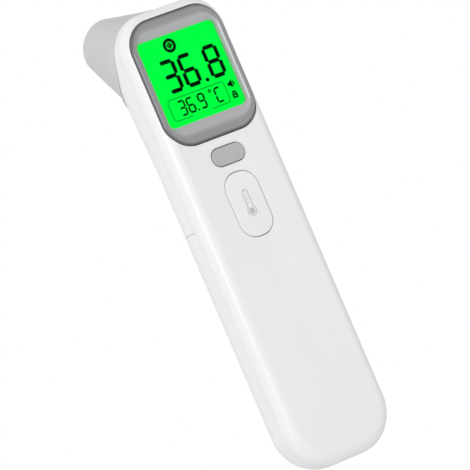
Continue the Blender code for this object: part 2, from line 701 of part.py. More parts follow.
def seat_edge(angle, share):
    """Distance from the probe's axis to the body's side, along the cap's edge surface."""
    low, high = 0.0, WIDTH
    for _ in range(HALVINGS):
        reach = (low + high) / 2
        across, up, height = seat_point(reach * math.cos(angle), reach * math.sin(angle), share)
        point = SEAT_CENTRE + Vector((across, 0, 0)) + SEAT_UP * up + AXIS * height
        low, high = (low, reach) if outside_body(point) else (reach, high)
    return low


def forehead_cap():
    """A hollow cone that starts as the head's own outline and ends as a round flat ring."""
    angles = [2 * math.pi * step / CAP_STEPS for step in range(CAP_STEPS)]
    edges = {share: [seat_edge(angle, share) for angle in angles] for share in SKIRT_SHARES}

    def skirt_ring(share, inset):
        """A ring of the skirt, which lies along the body's side."""
        points = []
        for angle, edge in zip(angles, edges[share]):
            reach = edge - inset
            across, up, height = seat_point(reach * math.cos(angle), reach * math.sin(angle), share)
            points.append((-across, up, height + GAP))
        return points

    def ring(share, inset, height):
        points = []
        for angle, edge in zip(angles, edges[1]):
            reach = edge + (CAP_TIP_R - edge) * share - inset
            points.append((-reach * math.cos(angle), reach * math.sin(angle), height))
        return points

    def round_ring(radius, height):
        return [(-radius * math.cos(angle), radius * math.sin(angle), height) for angle in angles]

    ease = CAP_WALL / 3
    last = CAP_LENGTH
    rings = [skirt_ring(share, 0) for share in SKIRT_SHARES]
    rings += [ring(share, 0, GAP + (last - ease - GAP) * share) for share in CONE_SHARES]
    rings.append(round_ring(CAP_TIP_R - ease, last))
    rings += [round_ring(CAP_MOUTH_R, last), round_ring(CAP_MOUTH_R, last - CAP_WALL)]
    rings += [ring(share, CAP_WALL, last * share) for share in INNER_SHARES]
    collar = PROBE_COLLAR_R + GAP
    rings += [round_ring(collar, last * INNER_SHARES[-1]), round_ring(collar, GAP)]
    rings += [skirt_ring(share, CAP_WALL) for share in reversed(SKIRT_SHARES)]
    return loft("forehead_cap", rings, "grey_cap", ring_closed=True, matrix=seat_matrix())


def ear_probe():
    flange_top = -WALL - GAP
    flange_low = flange_top - PROBE_FLANGE_WALL
    tip = PROBE_LENGTH
    film_seat = tip - TIP_FILM_WALL - GAP
    profile = [(TIP_FILM_R + GAP, tip), (PROBE_TIP_R - PROBE_EASE / 2, tip), (PROBE_TIP_R, tip - PROBE_EASE),
               (PROBE_WAIST_R, PROBE_WAIST), (PROBE_ROOT_R, PROBE_COLLAR + PROBE_EASE),
               (PROBE_COLLAR_R, PROBE_COLLAR), (PROBE_COLLAR_R, flange_top),
               (PROBE_FLANGE_R, flange_top), (PROBE_FLANGE_R, flange_low), (PROBE_CAVITY_R, flange_low),
               (PROBE_CAVITY_R, PROBE_CAVITY), (PROBE_BORE_R, PROBE_CAVITY),
               (PROBE_BORE_R, film_seat), (TIP_FILM_R + GAP, film_seat)]
    turned("ear_probe", profile, "white_shell", seat_matrix())


def sensor_train():
    seat = seat_matrix()
    back = SENSOR_SEAT
    rim = back + SENSOR_RIM
    front = back + SENSOR_HEIGHT
    can = [(0, front), (SENSOR_R, front), (SENSOR_R, rim), (SENSOR_RIM_R, rim), (SENSOR_RIM_R, back), (0, back)]
    turned("infrared_sensor", can, "steel", seat, SMALL_STEPS)
    outer = PROBE_CAVITY_R - GAP
    top = PROBE_CAVITY - GAP
    shoulder = front + GAP
    skirt = back - HOLDER_SKIRT
    holder = [(PROBE_BORE_R, top), (outer, top), (outer, skirt), (HOLDER_BORE_R, skirt),
              (HOLDER_BORE_R, shoulder), (PROBE_BORE_R, shoulder)]
    turned("sensor_holder", holder, "natural_plastic", seat)
    end = PROBE_LENGTH - TIP_FILM_WALL - 3 * GAP
    guide = [(GUIDE_BORE_R, end), (GUIDE_R, end), (GUIDE_R, shoulder), (GUIDE_BORE_R, shoulder)]
    turned("waveguide", guide, "gold_plate", seat)
    film_high = PROBE_LENGTH - GAP / 2
    film = [(0, film_high), (TIP_FILM_R, film_high), (TIP_FILM_R, film_high - TIP_FILM_WALL),
            (0, film_high - TIP_FILM_WALL)]
    turned("probe_film", film, "clear_lens", seat)


def sensor_cable():
    board = BOARD_BACK + GAP + LEAD_R
    rear = SENSOR_SEAT - GAP
    points = [SEAT_CENTRE + AXIS * rear, SEAT_CENTRE + AXIS * (rear - 0.0030),
              SEAT_CENTRE + AXIS * (rear - 0.0046) - SEAT_UP * 0.0020]
    last = points[-1]
    for share, height in ((0.45, 0.0022), (0.10, -0.0010), (0, -0.0045), (0, -0.0080)):
        depth = board + (last.y - FRONT_Y - board) * share
        points.append(place(-0.0015, depth, DISPLAY_Z + height))
    tube("sensor_cable", smooth_route(points, 3), LEAD_R, "black_lead")


# ---- batteries ----
def battery(name, side, low, nub_up):
    top = CELL_LENGTH
    shoulder = top - NUB_HEIGHT
    rim = CELL_R - CELL_EASE
    profile = [(0, top), (NUB_R, top), (NUB_R, shoulder), (rim, shoulder), (CELL_R, shoulder - CELL_EASE),
               (CELL_R, CELL_EASE), (rim, 0), (0, 0)]
    matrix = up_matrix(side * CELL_PITCH / 2, CELL_DEPTH, low if nub_up else low + CELL_LENGTH)
    if not nub_up:
        matrix = matrix @ Matrix.Rotation(math.pi, 4, 'X')
    turned(name, profile, "cell_jacket", matrix, CELL_STEPS)


def coil(name, side, low):
    """A contact spring wound as a helix that narrows a little towards its cell."""
    wire = SPRING_WIRE_R
    route = []
    for step in range(SPRING_TURNS * SPRING_STEPS + 1):
        share = step / (SPRING_TURNS * SPRING_STEPS)
        turn = 2 * math.pi * step / SPRING_STEPS
        radius = SPRING_R * (1 - SPRING_TAPER * share)
        x = side * CELL_PITCH / 2 + radius * math.cos(turn)
        height = low + wire + (SPRING_LENGTH - 2 * wire) * share
        route.append(place(x, CELL_DEPTH + radius * math.sin(turn), height))
    tube(name, route, wire, "steel")


def battery_tray():
    half = TRAY_WIDTH / 2
    tray = box("battery_tray", (-half, TRAY_DEPTH, TRAY_BOTTOM), (half, TRAY_BACK, TRAY_TOP), "dark_plastic")
    inner = half - TRAY_WALL
    ear_back = TRAY_FLOOR
    reach = EAR_X + EAR_R
    fuse(tray, box("tray_ears", (-reach, TRAY_DEPTH, EAR_HEIGHT - EAR_R),
                   (reach, ear_back, EAR_HEIGHT + EAR_R), None))
    cut(tray, box("tray_hollow", (-inner, TRAY_FLOOR, TRAY_BOTTOM + TRAY_WALL),
                  (inner, TRAY_BACK + GAP, TRAY_TOP - TRAY_WALL), None))
    for side in (-1, 1):
        spot = back_matrix(side * EAR_X, TRAY_DEPTH - GAP, EAR_HEIGHT)
        cut(tray, cylinder(f"ear_hole_{side + 1}", BOSS_HOLE_R, TRAY_WALL + 2 * GAP, spot))


def battery_contacts():
    low, high = PLATE_LOW, PLATE_HIGH
    front, back = TRAY_FLOOR + GAP, TRAY_BACK - GAP
    inner = TRAY_WIDTH / 2 - TRAY_WALL - GAP
    box("bridge_contact", (-inner, front, low), (inner, back, low + PLATE_WALL), "steel")
    box("positive_contact", (-inner, front, high), (-GAP, back, high + PLATE_WALL), "steel")
    box("negative_contact", (GAP, front, high), (inner, back, high + PLATE_WALL), "steel")
    battery("battery_1", -1, high - GAP - CELL_LENGTH, True)
    battery("battery_2", 1, low + PLATE_WALL + GAP, False)
    coil("contact_spring_1", -1, high - CELL_LENGTH - 2 * GAP - SPRING_LENGTH)
    coil("contact_spring_2", 1, high - GAP - SPRING_LENGTH)


def battery_leads():
    board = BOARD_BACK + GAP + LEAD_R
    for name, side in (("positive_lead", -1), ("negative_lead", 1)):
        x = side * CELL_PITCH / 2
        points = [place(x, CELL_DEPTH, TRAY_TOP + GAP), place(x, CELL_DEPTH, TRAY_TOP + LEAD_RISE),
                  place(x, board, BOARD_BOTTOM + LEAD_RISE), place(x, board, BOARD_BOTTOM + LEAD_REACH)]
        tube(name, smooth_route(points, 4), LEAD_R, "red_lead" if side < 0 else "black_lead")


front_shell()
rear_shell()
battery_cover()
display_bezel()
display_stack()
button("mode_button", MODE_SIZE, MODE_R, MODE_Z, "button_grey")
button("measure_button", MEASURE_SIZE, MEASURE_R, MEASURE_Z, "white_shell")
tactile_switch("mode", MODE_Z)
tactile_switch("measure", MEASURE_Z)
circuit_board()
screws()
forehead_cap()
ear_probe()
sensor_train()
sensor_cable()
battery_tray()
battery_contacts()
battery_leads()
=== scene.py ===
"""Looks of an infrared thermometer for the forehead and the ear, built round its packed model."""
import json
import math

import bmesh
import bpy
from mathutils import Matrix, Vector

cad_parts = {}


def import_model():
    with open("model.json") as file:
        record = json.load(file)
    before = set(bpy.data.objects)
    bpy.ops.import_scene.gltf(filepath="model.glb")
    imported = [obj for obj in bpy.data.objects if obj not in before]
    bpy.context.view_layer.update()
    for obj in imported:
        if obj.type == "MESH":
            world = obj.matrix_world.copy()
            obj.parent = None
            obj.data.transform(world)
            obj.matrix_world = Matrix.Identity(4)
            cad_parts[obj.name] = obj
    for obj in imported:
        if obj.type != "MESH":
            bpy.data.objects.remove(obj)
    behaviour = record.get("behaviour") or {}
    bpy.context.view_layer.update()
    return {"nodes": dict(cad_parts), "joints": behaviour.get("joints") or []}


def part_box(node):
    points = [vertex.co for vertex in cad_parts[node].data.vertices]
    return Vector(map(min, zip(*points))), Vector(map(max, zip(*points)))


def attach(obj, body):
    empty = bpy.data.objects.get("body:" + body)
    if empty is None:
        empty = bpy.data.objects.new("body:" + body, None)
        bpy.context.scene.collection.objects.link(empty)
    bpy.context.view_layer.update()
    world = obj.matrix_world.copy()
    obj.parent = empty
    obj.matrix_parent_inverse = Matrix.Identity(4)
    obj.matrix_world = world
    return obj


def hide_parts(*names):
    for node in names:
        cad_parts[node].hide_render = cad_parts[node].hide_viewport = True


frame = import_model()

bl_info = {
    "name": "Infrared Thermometer Looks",
    "version": (1, 0, 0),
    "blender": (4, 5, 0),
    "location": "3D View > Sidebar > Thermometer",
    "description": "Builds the shells, display, keys, cap and studio of a hand-held thermometer",
    "category": "Object",
}

MM = 0.001
FORWARD, BACKWARD = Vector((0, -1, 0)), Vector((0, 1, 0))
DOWN, UP = Vector((0, 0, -1)), Vector((0, 0, 1))
ALONG = 0.99                # cosine between directions that count as the same
TOUCH = 1e-6


# ---- places read from the model ----
def span(node):
    """Lowest and highest corners of a node, as vectors."""
    low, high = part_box(node)
    return Vector(low), Vector(high)


FRONT_LOW, FRONT_HIGH = span("front_shell")
COVER_TOP = span("battery_cover")[1].z
BEZEL_LOW, BEZEL_HIGH = span("display_bezel")
LENS_LOW, LENS_HIGH = span("display_lens")
LCD_LOW, LCD_HIGH = span("lcd_panel")
MODE_LOW, MODE_HIGH = span("mode_button")
MEASURE_LOW, MEASURE_HIGH = span("measure_button")
FACE_Y = FRONT_LOW.y
BOTTOM_Z = FRONT_LOW.z
HALF_WIDTH = FRONT_HIGH.x
LENGTH = FRONT_HIGH.z - BOTTOM_Z
PARTING = span("rear_shell")[0].y - FACE_Y      # depth of the line between front and rear shells
DISPLAY = (LENS_LOW + LENS_HIGH) / 2
DISPLAY_HEIGHT = DISPLAY.z - BOTTOM_Z
CAP_JOINT = next(joint for joint in frame["joints"] if joint["name"] == "cap_pull")
AXIS = Vector(CAP_JOINT["axis"]).normalized()   # of the probe and the cap
SEAT_UP = Vector((0, -AXIS.z, AXIS.y))

# ---- sizes the settings leave out ----
GAP = 0.3 * MM
FINE_GAP = 0.12 * MM
WHITE_ROUGHNESS = 0.34

# Shells
SEAM_Z = COVER_TOP + FINE_GAP
LIP = 1.0 * MM
LIP_WALL = 0.8 * MM
BEZEL_GAP = 0.1 * MM
MEASURE_GAP = 0.28 * MM
EASE = 0.12 * MM            # broken edge round each opening
OPENING_DEPTH = 6 * MM
SCREW_REACH = 3.3 * MM      # screw's tip to the end of its boss
SCREW_ROOM = 1.2 * MM
BOSS_R = 2.1 * MM
SPIGOT_WALL = 1.3 * MM
TONGUE_HALF = 13 * MM
TONGUE_WALL = 1.4 * MM
TONGUE_RISE = 2.6 * MM
TONGUE_CORNER = 0.2 * MM

# Thumb ribs on the battery door
RIBS = 6
RIB_PITCH = 1.9 * MM
RIB_DROP = 7 * MM
RIB_HALF = 6.5 * MM
RIB_R = 0.9 * MM
RIB_DEPTH = 0.45 * MM
RIB_BOW = 1.6               # how much shorter the outer ribs are

# Bezel and display
BAND_DISH = 1.6 * MM
# Depths over which the bezel's painted shade goes from its edge colour into the band's and the rim's
# colours
SILVER_SHADE_RUN = 0.5 * MM
RIM_SHADE_RUN = 0.35 * MM
GLOW_DEPTH = 1.8 * MM
GLOW_SPARE = 0.2 * MM
FILM_GAP = 0.02 * MM
LCD_CORNER = 0.5 * MM
LENS_GAP = 0.1 * MM
LENS_WALL = 0.45 * MM
INK_WALL = 0.03 * MM        # also the wall of the mark printed on the key
DOT_HOLE = 0.02             # in mm: a ring with so small a hole is a dot

# Keys
MODE_PROUD = 0.4 * MM
MEASURE_PROUD = 0.1 * MM
KEY_ROUND = 0.35 * MM
KEY_FLANGE_FRONT = 2.1 * MM
KEY_FLANGE_WALL = 1.0 * MM
KEY_OVERLAP = 0.1 * MM
KEY_STEM_R = 2.0 * MM
MARK_LOW = 4.3 * MM         # from the key's centre down to the mark's end
MARK_HIGH = 5.0 * MM
MARK_LINE = 0.3 * MM
MARK_TUBE = 1.15 * MM
MARK_BULB = 1.75 * MM
MARK_MERCURY = 1.05 * MM
MARK_SCALE = 5              # dots
MARK_PITCH = 0.95 * MM
MARK_DOT = 0.22 * MM
MARK_SHIFT = 0.2 * MM
MARK_FIRST = 2.7 * MARK_BULB
MARK_ROUND = 0.98           # share of the tube's half width by which its end is rounded

# Probe
PROBE_LENGTH = 28.2 * MM
PROBE_TIP_R = 4.3 * MM
PROBE_ROOT_R = 7.8 * MM
PROBE_EASE = 0.6 * MM
PROBE_COLLAR = 3.0 * MM
PROBE_COLLAR_R = 9.7 * MM
PROBE_FLANGE_R = 11.5 * MM
PROBE_FLANGE_WALL = 1.5 * MM
PROBE_CAVITY_R = 6.6 * MM
PROBE_CAVITY = 6.0 * MM
PROBE_BORE_R = 2.7 * MM
FILM_R = 3.0 * MM
FILM_WALL = 0.4 * MM

# Cap
CAP_EASE = 0.4              # share of its wall by which the mouth's edges are rounded
CAP_INSIDE = (0.95, 0.75, 0.5, 0.3, 0.1)        # shares of its length, for the rings inside

# Steps round curves
SMOOTH_ANGLE = math.radians(40)
TURN_STEPS = 96
RING_STEPS = 48
STEM_STEPS = 32
HOLE_STEPS = 24
PLATE_STEPS = 14
ROUND_STEPS = 12
TUBE_STEPS = 8
KEY_STEPS = 4
CORNER_STEPS = 3
FLARE_STEPS = 12
SKIRT_STEPS = 40
SKIRT_REACH = 1.06          # how far past the seat the skirt's edge is drawn
HALVINGS = 30
RIM_STEPS = 8
BAND_STEPS = 8
SKIRT_RINGS = 6
CONE_RINGS = 10
TIP_RINGS = 4
PROBE_STEPS = 12

# Display, in mm from its centre
SHAPES = {"3": "abgcd", "6": "afgedc", "8": "abcdefg", "9": "abcdfg", "C": "afed"}
LARGE_READING = (("3", -10.2), ("6", -3.0), ("8", 6.9))
LARGE_TOP, LARGE_WIDTH, LARGE_STROKE = 7.3, 6.1, 1.4
SMALL_READING = (("3", -9.2), ("6", -5.9), ("9", -1.4), ("C", 5.3))
SMALL_TOP, SMALL_WIDTH, SMALL_STROKE = -6.7, 2.8, 0.66
RINGS = (                   # centre, outer and inner radius
    (5.0, -3.5, 0.68, DOT_HOLE), (-2.3, -11.8, 0.36, DOT_HOLE),     # decimal points
    (3.9, -7.2, 0.6, 0.22),                                         # degree sign
    (-3.2, 11.3, 2.4, 1.35), (-3.2, 11.3, 0.95, 0.55),              # round mark
)
MARK_BARS = ((-3.42, 10.15, -2.98, 12.45), (-4.35, 11.08, -2.05, 11.52))
SPEAKER = (                 # box, three steps of the horn and a wave, with their corners
    (11.2, -7.9, 12.05, -6.9, 0.1), (11.85, -8.05, 12.35, -6.75, 0.08),
    (12.2, -8.35, 12.7, -6.45, 0.08), (12.55, -8.65, 13.05, -6.15, 0.08), (13.3, -8.2, 13.8, -6.6, 0.2),
)
PADLOCK_AT = (12.4, -11.2)
PADLOCK = (                 # open body, then the shackle
    (-1.0, -1.15, 1.0, -0.6), (-1.0, -0.2, 1.0, 0.35), (-1.0, -1.15, -0.4, 0.35),
    (0.4, -1.15, 1.0, 0.35), (-0.75, 0.25, -0.25, 1.1), (0.25, 0.25, 0.75, 1.1), (-0.75, 0.8, 0.75, 1.3),
)
LEVEL_END, UPRIGHT_END, MIDDLE_END, BAR_ROUND = 0.67, 0.72, 0.3, 0.36     # shares of a stroke
FRAME_LINE = (-12.5, -13.1, 10.1, -5.6)
FRAME_WIDTH, FRAME_CORNER = 0.2, 1.2
FRAME_OPENING = (-5.3, -14.0, 2.5, -12.0)
ICON_CORNER = 0.08

# Studio
AIM = Vector((-3.66 * MM, 0, 21.81 * MM))
LIGHTS = (                  # name, place, size and power in watts
    ("key", (-1.15, -0.9, 0.2), 0.4, 4.8), ("fill", (1.1, -0.9, 0.1), 0.9, 1.5),
    ("top", (0.1, 0.4, 1.2), 0.8, 0.5),
)
SURROUND_LEFT = 0.86
SURROUND_RIGHT = 0.60
FLOOR_HALF = 2.0
SENSOR_WIDTH = 36           # mm


# ---- the user's settings ----
def length(name, text, size_mm):
    """A length that the sidebar shows, from a size in mm."""
    return bpy.props.FloatProperty(name=name, description=text, default=size_mm * MM, min=0, unit='LENGTH',
                                   precision=5)


def angle(name, text, degrees):
    """An angle that the sidebar shows."""
    return bpy.props.FloatProperty(name=name, description=text, default=math.radians(degrees),
                                   unit='ROTATION')


def colour(name, text, default):
    """A colour as sRGB hex."""
    return bpy.props.StringProperty(name=name, description=text, default=default)


class ShellSettings(bpy.types.PropertyGroup):
    """Sizes and colours of the white shells."""
    front_round: length("Front rounding", "Radius round the front face", 4.5)
    back_round: length("Back rounding", "Radius round the back", 11.0)
    top_corner: length("Top corners", "Corner radius of the outline at the head", 11.5)
    bottom_corner: length("Bottom corners", "Corner radius of the outline at the end", 15.0)
    handle_depth: length("Handle depth", "Front face to back", 20.5)
    flare: length("Flare", "How far the back swells out under the cap", 2.2)
    flare_run: length("Flare run", "Height over which the back swells", 28.5)
    wall: length("Wall", "Thickness of the shells", 1.8)
    white: colour("White", "Moulded white ABS", "#F3F3F4")


class DisplaySettings(bpy.types.PropertyGroup):
    """Sizes and colours of the bezel and the display."""
    bezel_round: length("Bezel corners", "Corner radius of the bezel", 9.5)
    rim: length("Rim", "Width of the bezel's rounded rim", 1.5)
    window_round: length("Window corners", "Corner radius of the display window", 2.2)
    silver: colour("Silver", "Silver lacquer round the window", "#BCBCBE")
    # Painted shade: the darker silver of the bezel's raised edge, where it turns from the light
    silver_painted_shade: colour("Silver edge", "Thinner lacquer on the bezel's raised edge", "#98989A")
    # Painted shade: the darkest grey down the bezel's rounded rim, which turns from the light
    rim_painted_shade: colour("Rim grey", "Darkest lacquer, down the bezel's rim", "#6C6C70")
    green: colour("Backlight", "Glow of the backlit display", "#00FF40")
    ink: colour("Segments", "Dark segments of the display", "#04140A")
    numeral_height: length("Numeral height", "Height of the large reading", 11.4)
    small_height: length("Small numerals", "Height of the second reading", 5.4)


class KeySettings(bpy.types.PropertyGroup):
    """Sizes and colours of the two keys."""
    measure_round: length("Measure key corners", "Corner radius of the large key", 5.6)
    mode_round: length("Mode key corners", "Corner radius of the small key", 2.95)
    flange: length("Flange", "Rim behind the shell that keeps a key in", 1.2)
    grey: colour("Key grey", "Satin lacquer on the mode key", "#BABABC")
    mark: colour("Mark", "Printed thermometer mark on the large key", "#C4C4C5")


class CapSettings(bpy.types.PropertyGroup):
    """Sizes and colour of the cap and its seat."""
    seat_top: length("Seat depth", "Depth of the cap's seat at the top of the head", 9.7)
    skirt_top: length("Skirt depth", "Depth of the skirt's edge at the top", 6.8)
    tip: length("Tip radius", "Radius of the cap's round end", 9.5)
    mouth: length("Mouth radius", "Radius of the opening in the cap's end", 6.5)
    cap_length: length("Cap length", "From its seat to the flat ring", 33.0)
    cap_wall: length("Cap wall", "Thickness of the cap", 1.5)
    grey: colour("Cap grey", "Matt moulded ABS", "#D1D1D2")


class StudioSettings(bpy.types.PropertyGroup):
    """Camera, floor and lights."""
    azimuth: angle("Azimuth", "Camera's turn to the left of the front", 29.94)
    rise: angle("Rise", "How far the camera looks up", 3.07)
    roll: angle("Roll", "Tilt of the camera about its view", 23.16)
    distance: length("Distance", "Camera to the object", 1440)
    lens: bpy.props.FloatProperty(name="Lens", description="Focal length on a 36 mm sensor, in mm",
                                  default=337.1)
    floor_drop: length("Floor drop", "Floor below the object's bottom end", 100)


SETTINGS = {
    "thermo_shell": ShellSettings,
    "thermo_display": DisplaySettings,
    "thermo_keys": KeySettings,
    "thermo_cap": CapSettings,
    "thermo_studio": StudioSettings,
}


# ---- materials ----
def linear(code):
    """sRGB hex to linear RGBA."""
    values = [int(code[i:i + 2], 16) / 255 for i in (1, 3, 5)]
    curve = [v / 12.92 if v <= 0.04045 else ((v + 0.055) / 1.055) ** 2.4 for v in values]
    return (*curve, 1.0)


def add_node(tree, kind, settings=None, inputs=None, links=None):
    """Add a node, set its properties and sockets, and link sockets from other nodes."""
    node = tree.nodes.new(kind)
    for name, value in (settings or {}).items():
        setattr(node, name, value)
    for name, value in (inputs or {}).items():
        node.inputs[name].default_value = value
    for name, source in (links or {}).items():
        tree.links.new(source, node.inputs[name])
    return node


class Finish:
    """A material's shader and the textures that drive it, in the object's own coordinates."""

    def __init__(self, made):
        made.use_nodes = True
        self.made = made
        self.tree = made.node_tree
        self.shader = self.tree.nodes["Principled BSDF"]
        self.place = add_node(self.tree, "ShaderNodeTexCoord").outputs["Object"]

    def base(self, code, roughness, **constants):
        """Colour, roughness and any other constants to start from."""
        self.made.diffuse_color = linear(code)
        self.roughness = roughness
        self.put({"Base Color": linear(code), "Roughness": roughness, "IOR": 1.5, **constants})

    def put(self, constants):
        for name, value in constants.items():
            self.shader.inputs[name].default_value = value

    def drive(self, name, source):
        self.tree.links.new(source, self.shader.inputs[name])

    def noise(self, scale, detail):
        return add_node(self.tree, "ShaderNodeTexNoise", inputs={"Scale": scale, "Detail": detail},
                        links={"Vector": self.place}).outputs["Fac"]

    def axis(self, name):
        return add_node(self.tree, "ShaderNodeSeparateXYZ", links={"Vector": self.place}).outputs[name]

    def remap(self, source, low, high, start=0.0, end=1.0, kind='LINEAR'):
        """Low where the source is at its start, high where it is at its end."""
        return add_node(self.tree, "ShaderNodeMapRange", {"interpolation_type": kind},
                        {"From Min": start, "From Max": end, "To Min": low, "To Max": high},
                        {"Value": source}).outputs["Result"]

    def mix(self, factor, first, last):
        return add_node(self.tree, "ShaderNodeMix", {"data_type": 'RGBA'}, {"A": first, "B": last},
                        {"Factor": factor}).outputs["Result"]

    def bump(self, height, strength, depth_mm):
        node = add_node(self.tree, "ShaderNodeBump", None,
                        {"Strength": strength, "Distance": depth_mm * MM}, {"Height": height})
        self.drive("Normal", node.outputs["Normal"])

    def grain(self, size_mm, depth_mm, spread, colour_spread=0.015):
        """Moulded or lacquered texture: bump, and small changes of roughness and colour."""
        self.bump(self.noise(1000 / size_mm, 3.0), 0.6, depth_mm)
        broad = self.noise(45.0, 4.0)
        self.drive("Roughness", self.remap(broad, self.roughness - spread, self.roughness + spread))
        base = self.shader.inputs["Base Color"].default_value[:3]
        low, high = ([min(channel * (1 + change), 1) for channel in base] + [1]
                     for change in (-colour_spread, colour_spread))
        self.drive("Base Color", self.mix(broad, low, high))


def finish(build):
    """Make a finish once for each name: a later call gives the material that exists."""
    def named(name, *values):
        made = bpy.data.materials.get(name)
        if not made:
            made = bpy.data.materials.new(name)
            build(Finish(made), *values)
        return made
    return named


@finish
def moulded_abs(look, code, roughness, size_mm=0.45, depth_mm=0.010):
    """ABS from a finely eroded mould: satin, with a soft, slightly uneven sheen."""
    look.base(code, roughness)
    look.grain(size_mm, depth_mm, 0.04)
    look.put({"Subsurface Weight": 0.04, "Subsurface Radius": (MM, MM, MM), "Subsurface Scale": 1.0})


def white_abs(scene):
    """The white moulded ABS of the shells, the large key and the probe."""
    return moulded_abs("abs_white_satin", scene.thermo_shell.white, WHITE_ROUGHNESS)


@finish
def silver_lacquer(look, outer, inner, run, roughness):
    """Silver lacquer sprayed on plastic: fine flakes under a thin clear coat.

    The raised edge is painted darker, as painted shade where it turns from the light, and goes over into
    the inner colour a run deeper.
    """
    look.base(outer, roughness, Metallic=0.35)
    front = BEZEL_LOW.y
    # Painted shade by depth: the outer colour at the bezel's front, the inner colour a run deeper
    depth = look.remap(look.axis("Y"), 0.0, 1.0, front, front + run, 'SMOOTHSTEP')
    flakes = look.noise(1000 / 0.25, 3.0)
    shade = add_node(look.tree, "ShaderNodeVectorMath", {"operation": 'SCALE'},
                     links={"Vector": look.mix(depth, linear(outer), linear(inner)),
                            "Scale": look.remap(flakes, 0.94, 1.06)})
    look.drive("Base Color", shade.outputs["Vector"])
    look.bump(flakes, 0.5, 0.004)
    look.put({"Coat Weight": 0.25, "Coat Roughness": 0.15})


@finish
def clear_acrylic(look):
    """Clear acrylic with an anti-glare coat, so the display shows through almost untouched."""
    look.base("#FFFFFF", 0.08, IOR=1.08)
    look.put({"Transmission Weight": 1.0})
    look.drive("Roughness", look.remap(look.noise(120.0, 2.0), 0.02, 0.06))


@finish
def backlit_film(look, code):
    """Green light guide behind the liquid crystal: an even glow, a little uneven at its edges."""
    look.base(code, 0.5)
    look.put({"Base Color": (0.0, 0.02, 0.002, 1), "Specular IOR Level": 0.0,
              "Emission Color": linear(code)})
    look.drive("Emission Strength", look.remap(look.noise(60.0, 1.0), 0.97, 1.03))


@finish
def display_ink(look, code):
    """Switched-on liquid crystal segments: near black, without gloss."""
    look.base(code, 0.6)
    look.put({"Specular IOR Level": 0.0})
    look.grain(0.3, 0.001, 0.05, 0.05)


@finish
def plated_metal(look, code, roughness):
    """Plated spring steel or brass: bright, with faint drawing lines."""
    look.base(code, roughness, Metallic=1.0)
    look.grain(0.2, 0.003, 0.06, 0.04)


@finish
def solder_mask(look):
    """Green solder mask over copper tracks, slightly glossy."""
    look.base("#1F6B3A", 0.35)
    tracks = add_node(look.tree, "ShaderNodeTexBrick", {"offset": 0.3, "squash": 0.7},
                      {"Scale": 260.0, "Mortar Size": 0.08, "Color1": linear("#1B6034"),
                       "Color2": linear("#237543"), "Mortar": linear("#3C8F52")},
                      {"Vector": look.place})
    look.drive("Base Color", tracks.outputs["Color"])
    look.bump(tracks.outputs["Fac"], 0.4, 0.03)


@finish
def soft_rubber(look, code):
    """Silicone rubber, lead insulation or printed ink: dull, slightly rough."""
    look.base(code, 0.6)
    look.grain(0.4, 0.01, 0.06, 0.06)


@finish
def cell_film(look):
    """Shrunk film on a cell: dark with a copper-coloured band round its upper end."""
    look.base("#26282B", 0.3)
    top = span("battery_1")[1].z
    band = look.remap(look.axis("Z"), 0.0, 1.0, top - 11.5 * MM, top - 11.3 * MM)
    look.drive("Base Color", look.mix(band, linear("#26282B"), linear("#B8783A")))
    look.put({"Metallic": 0.3, "Coat Weight": 0.5})


@finish
def backdrop_paper(look, code):
    """Roll of backdrop paper: matt, with a very faint fibre."""
    look.base(code, 0.8)
    look.grain(1.2, 0.02, 0.05, 0.004)


# ---- mesh helpers ----
def add_object(name, data):
    """An object in the scene with its data: a lamp, a camera or a mesh."""
    made = bpy.data.objects.new(name, data)
    bpy.context.scene.collection.objects.link(made)
    return made


def to_mesh(name, bm):
    """A mesh with a bmesh's shape; the bmesh is used up."""
    mesh = bpy.data.meshes.new(name)
    bm.to_mesh(mesh)
    bm.free()
    return mesh


def finish_piece(name, bm, materials, body, slot, *nodes):
    """Make a piece from a bmesh, shade it, give it its body and hide the model's nodes it stands for; the
    slot is not used.
    """
    piece = add_object(name, to_mesh(name, bm))
    for made in materials:
        piece.data.materials.append(made)
    piece.data.shade_smooth()
    piece.data.set_sharp_from_angle(angle=SMOOTH_ANGLE)
    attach(piece, body)
    if nodes:
        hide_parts(*nodes)


def boolean(bm, cutter, operation='DIFFERENCE'):
    """Apply one exact Boolean to a bmesh and return the result as a new bmesh."""
    target, tool = (add_object("cut", to_mesh("cut", part)) for part in (bm, cutter))
    step = target.modifiers.new("cut", 'BOOLEAN')
    step.operation = operation
    step.solver = 'EXACT'
    step.object = tool
    result = bmesh.new()
    result.from_object(target, bpy.context.evaluated_depsgraph_get())
    for piece in (target, tool):
        mesh = piece.data
        bpy.data.objects.remove(piece)
        bpy.data.meshes.remove(mesh)
    return result


def join(bm, other):
    """Add another bmesh's faces to a bmesh as a separate shell."""
    mesh = to_mesh("joined", other)
    bm.from_mesh(mesh)
    bpy.data.meshes.remove(mesh)


def everything(bm):
    return bm.verts[:] + bm.edges[:] + bm.faces[:]


def facing(bm, direction):
    """Faces whose normal points along a direction."""
    bm.normal_update()
    return [face for face in bm.faces if face.normal.dot(direction) > ALONG]


def bevel(bm, edges, radius, steps):
    bmesh.ops.bevel(bm, geom=edges, offset=radius, affect='EDGES', segments=steps, profile=0.5, material=-1)


def plate(low, high, top_corner, bottom_corner=None, steps=PLATE_STEPS):
    """A box with its front-to-back edges rounded: the outline of a plate seen from the front."""
    bm = bmesh.new()
    bmesh.ops.create_cube(bm, size=1.0)
    low, high = Vector(low), Vector(high)
    centre = (low + high) / 2
    bmesh.ops.scale(bm, vec=high - low, verts=bm.verts[:])
    bmesh.ops.translate(bm, vec=centre, verts=bm.verts[:])
    for above, radius in ((True, top_corner), (False, bottom_corner or top_corner)):
        edges = [edge for edge in bm.edges
                 if abs((edge.verts[0].co - edge.verts[1].co).normalized().y) > ALONG
                 and (edge.verts[0].co.z > centre.z) == above]
        bevel(bm, edges, radius, steps)
    return bm


def round_rim(bm, direction, radius, steps):
    """Round the edges round the flat face that points along a direction."""
    edges = {edge for face in facing(bm, direction) for edge in face.edges}
    bevel(bm, list(edges), radius, steps)


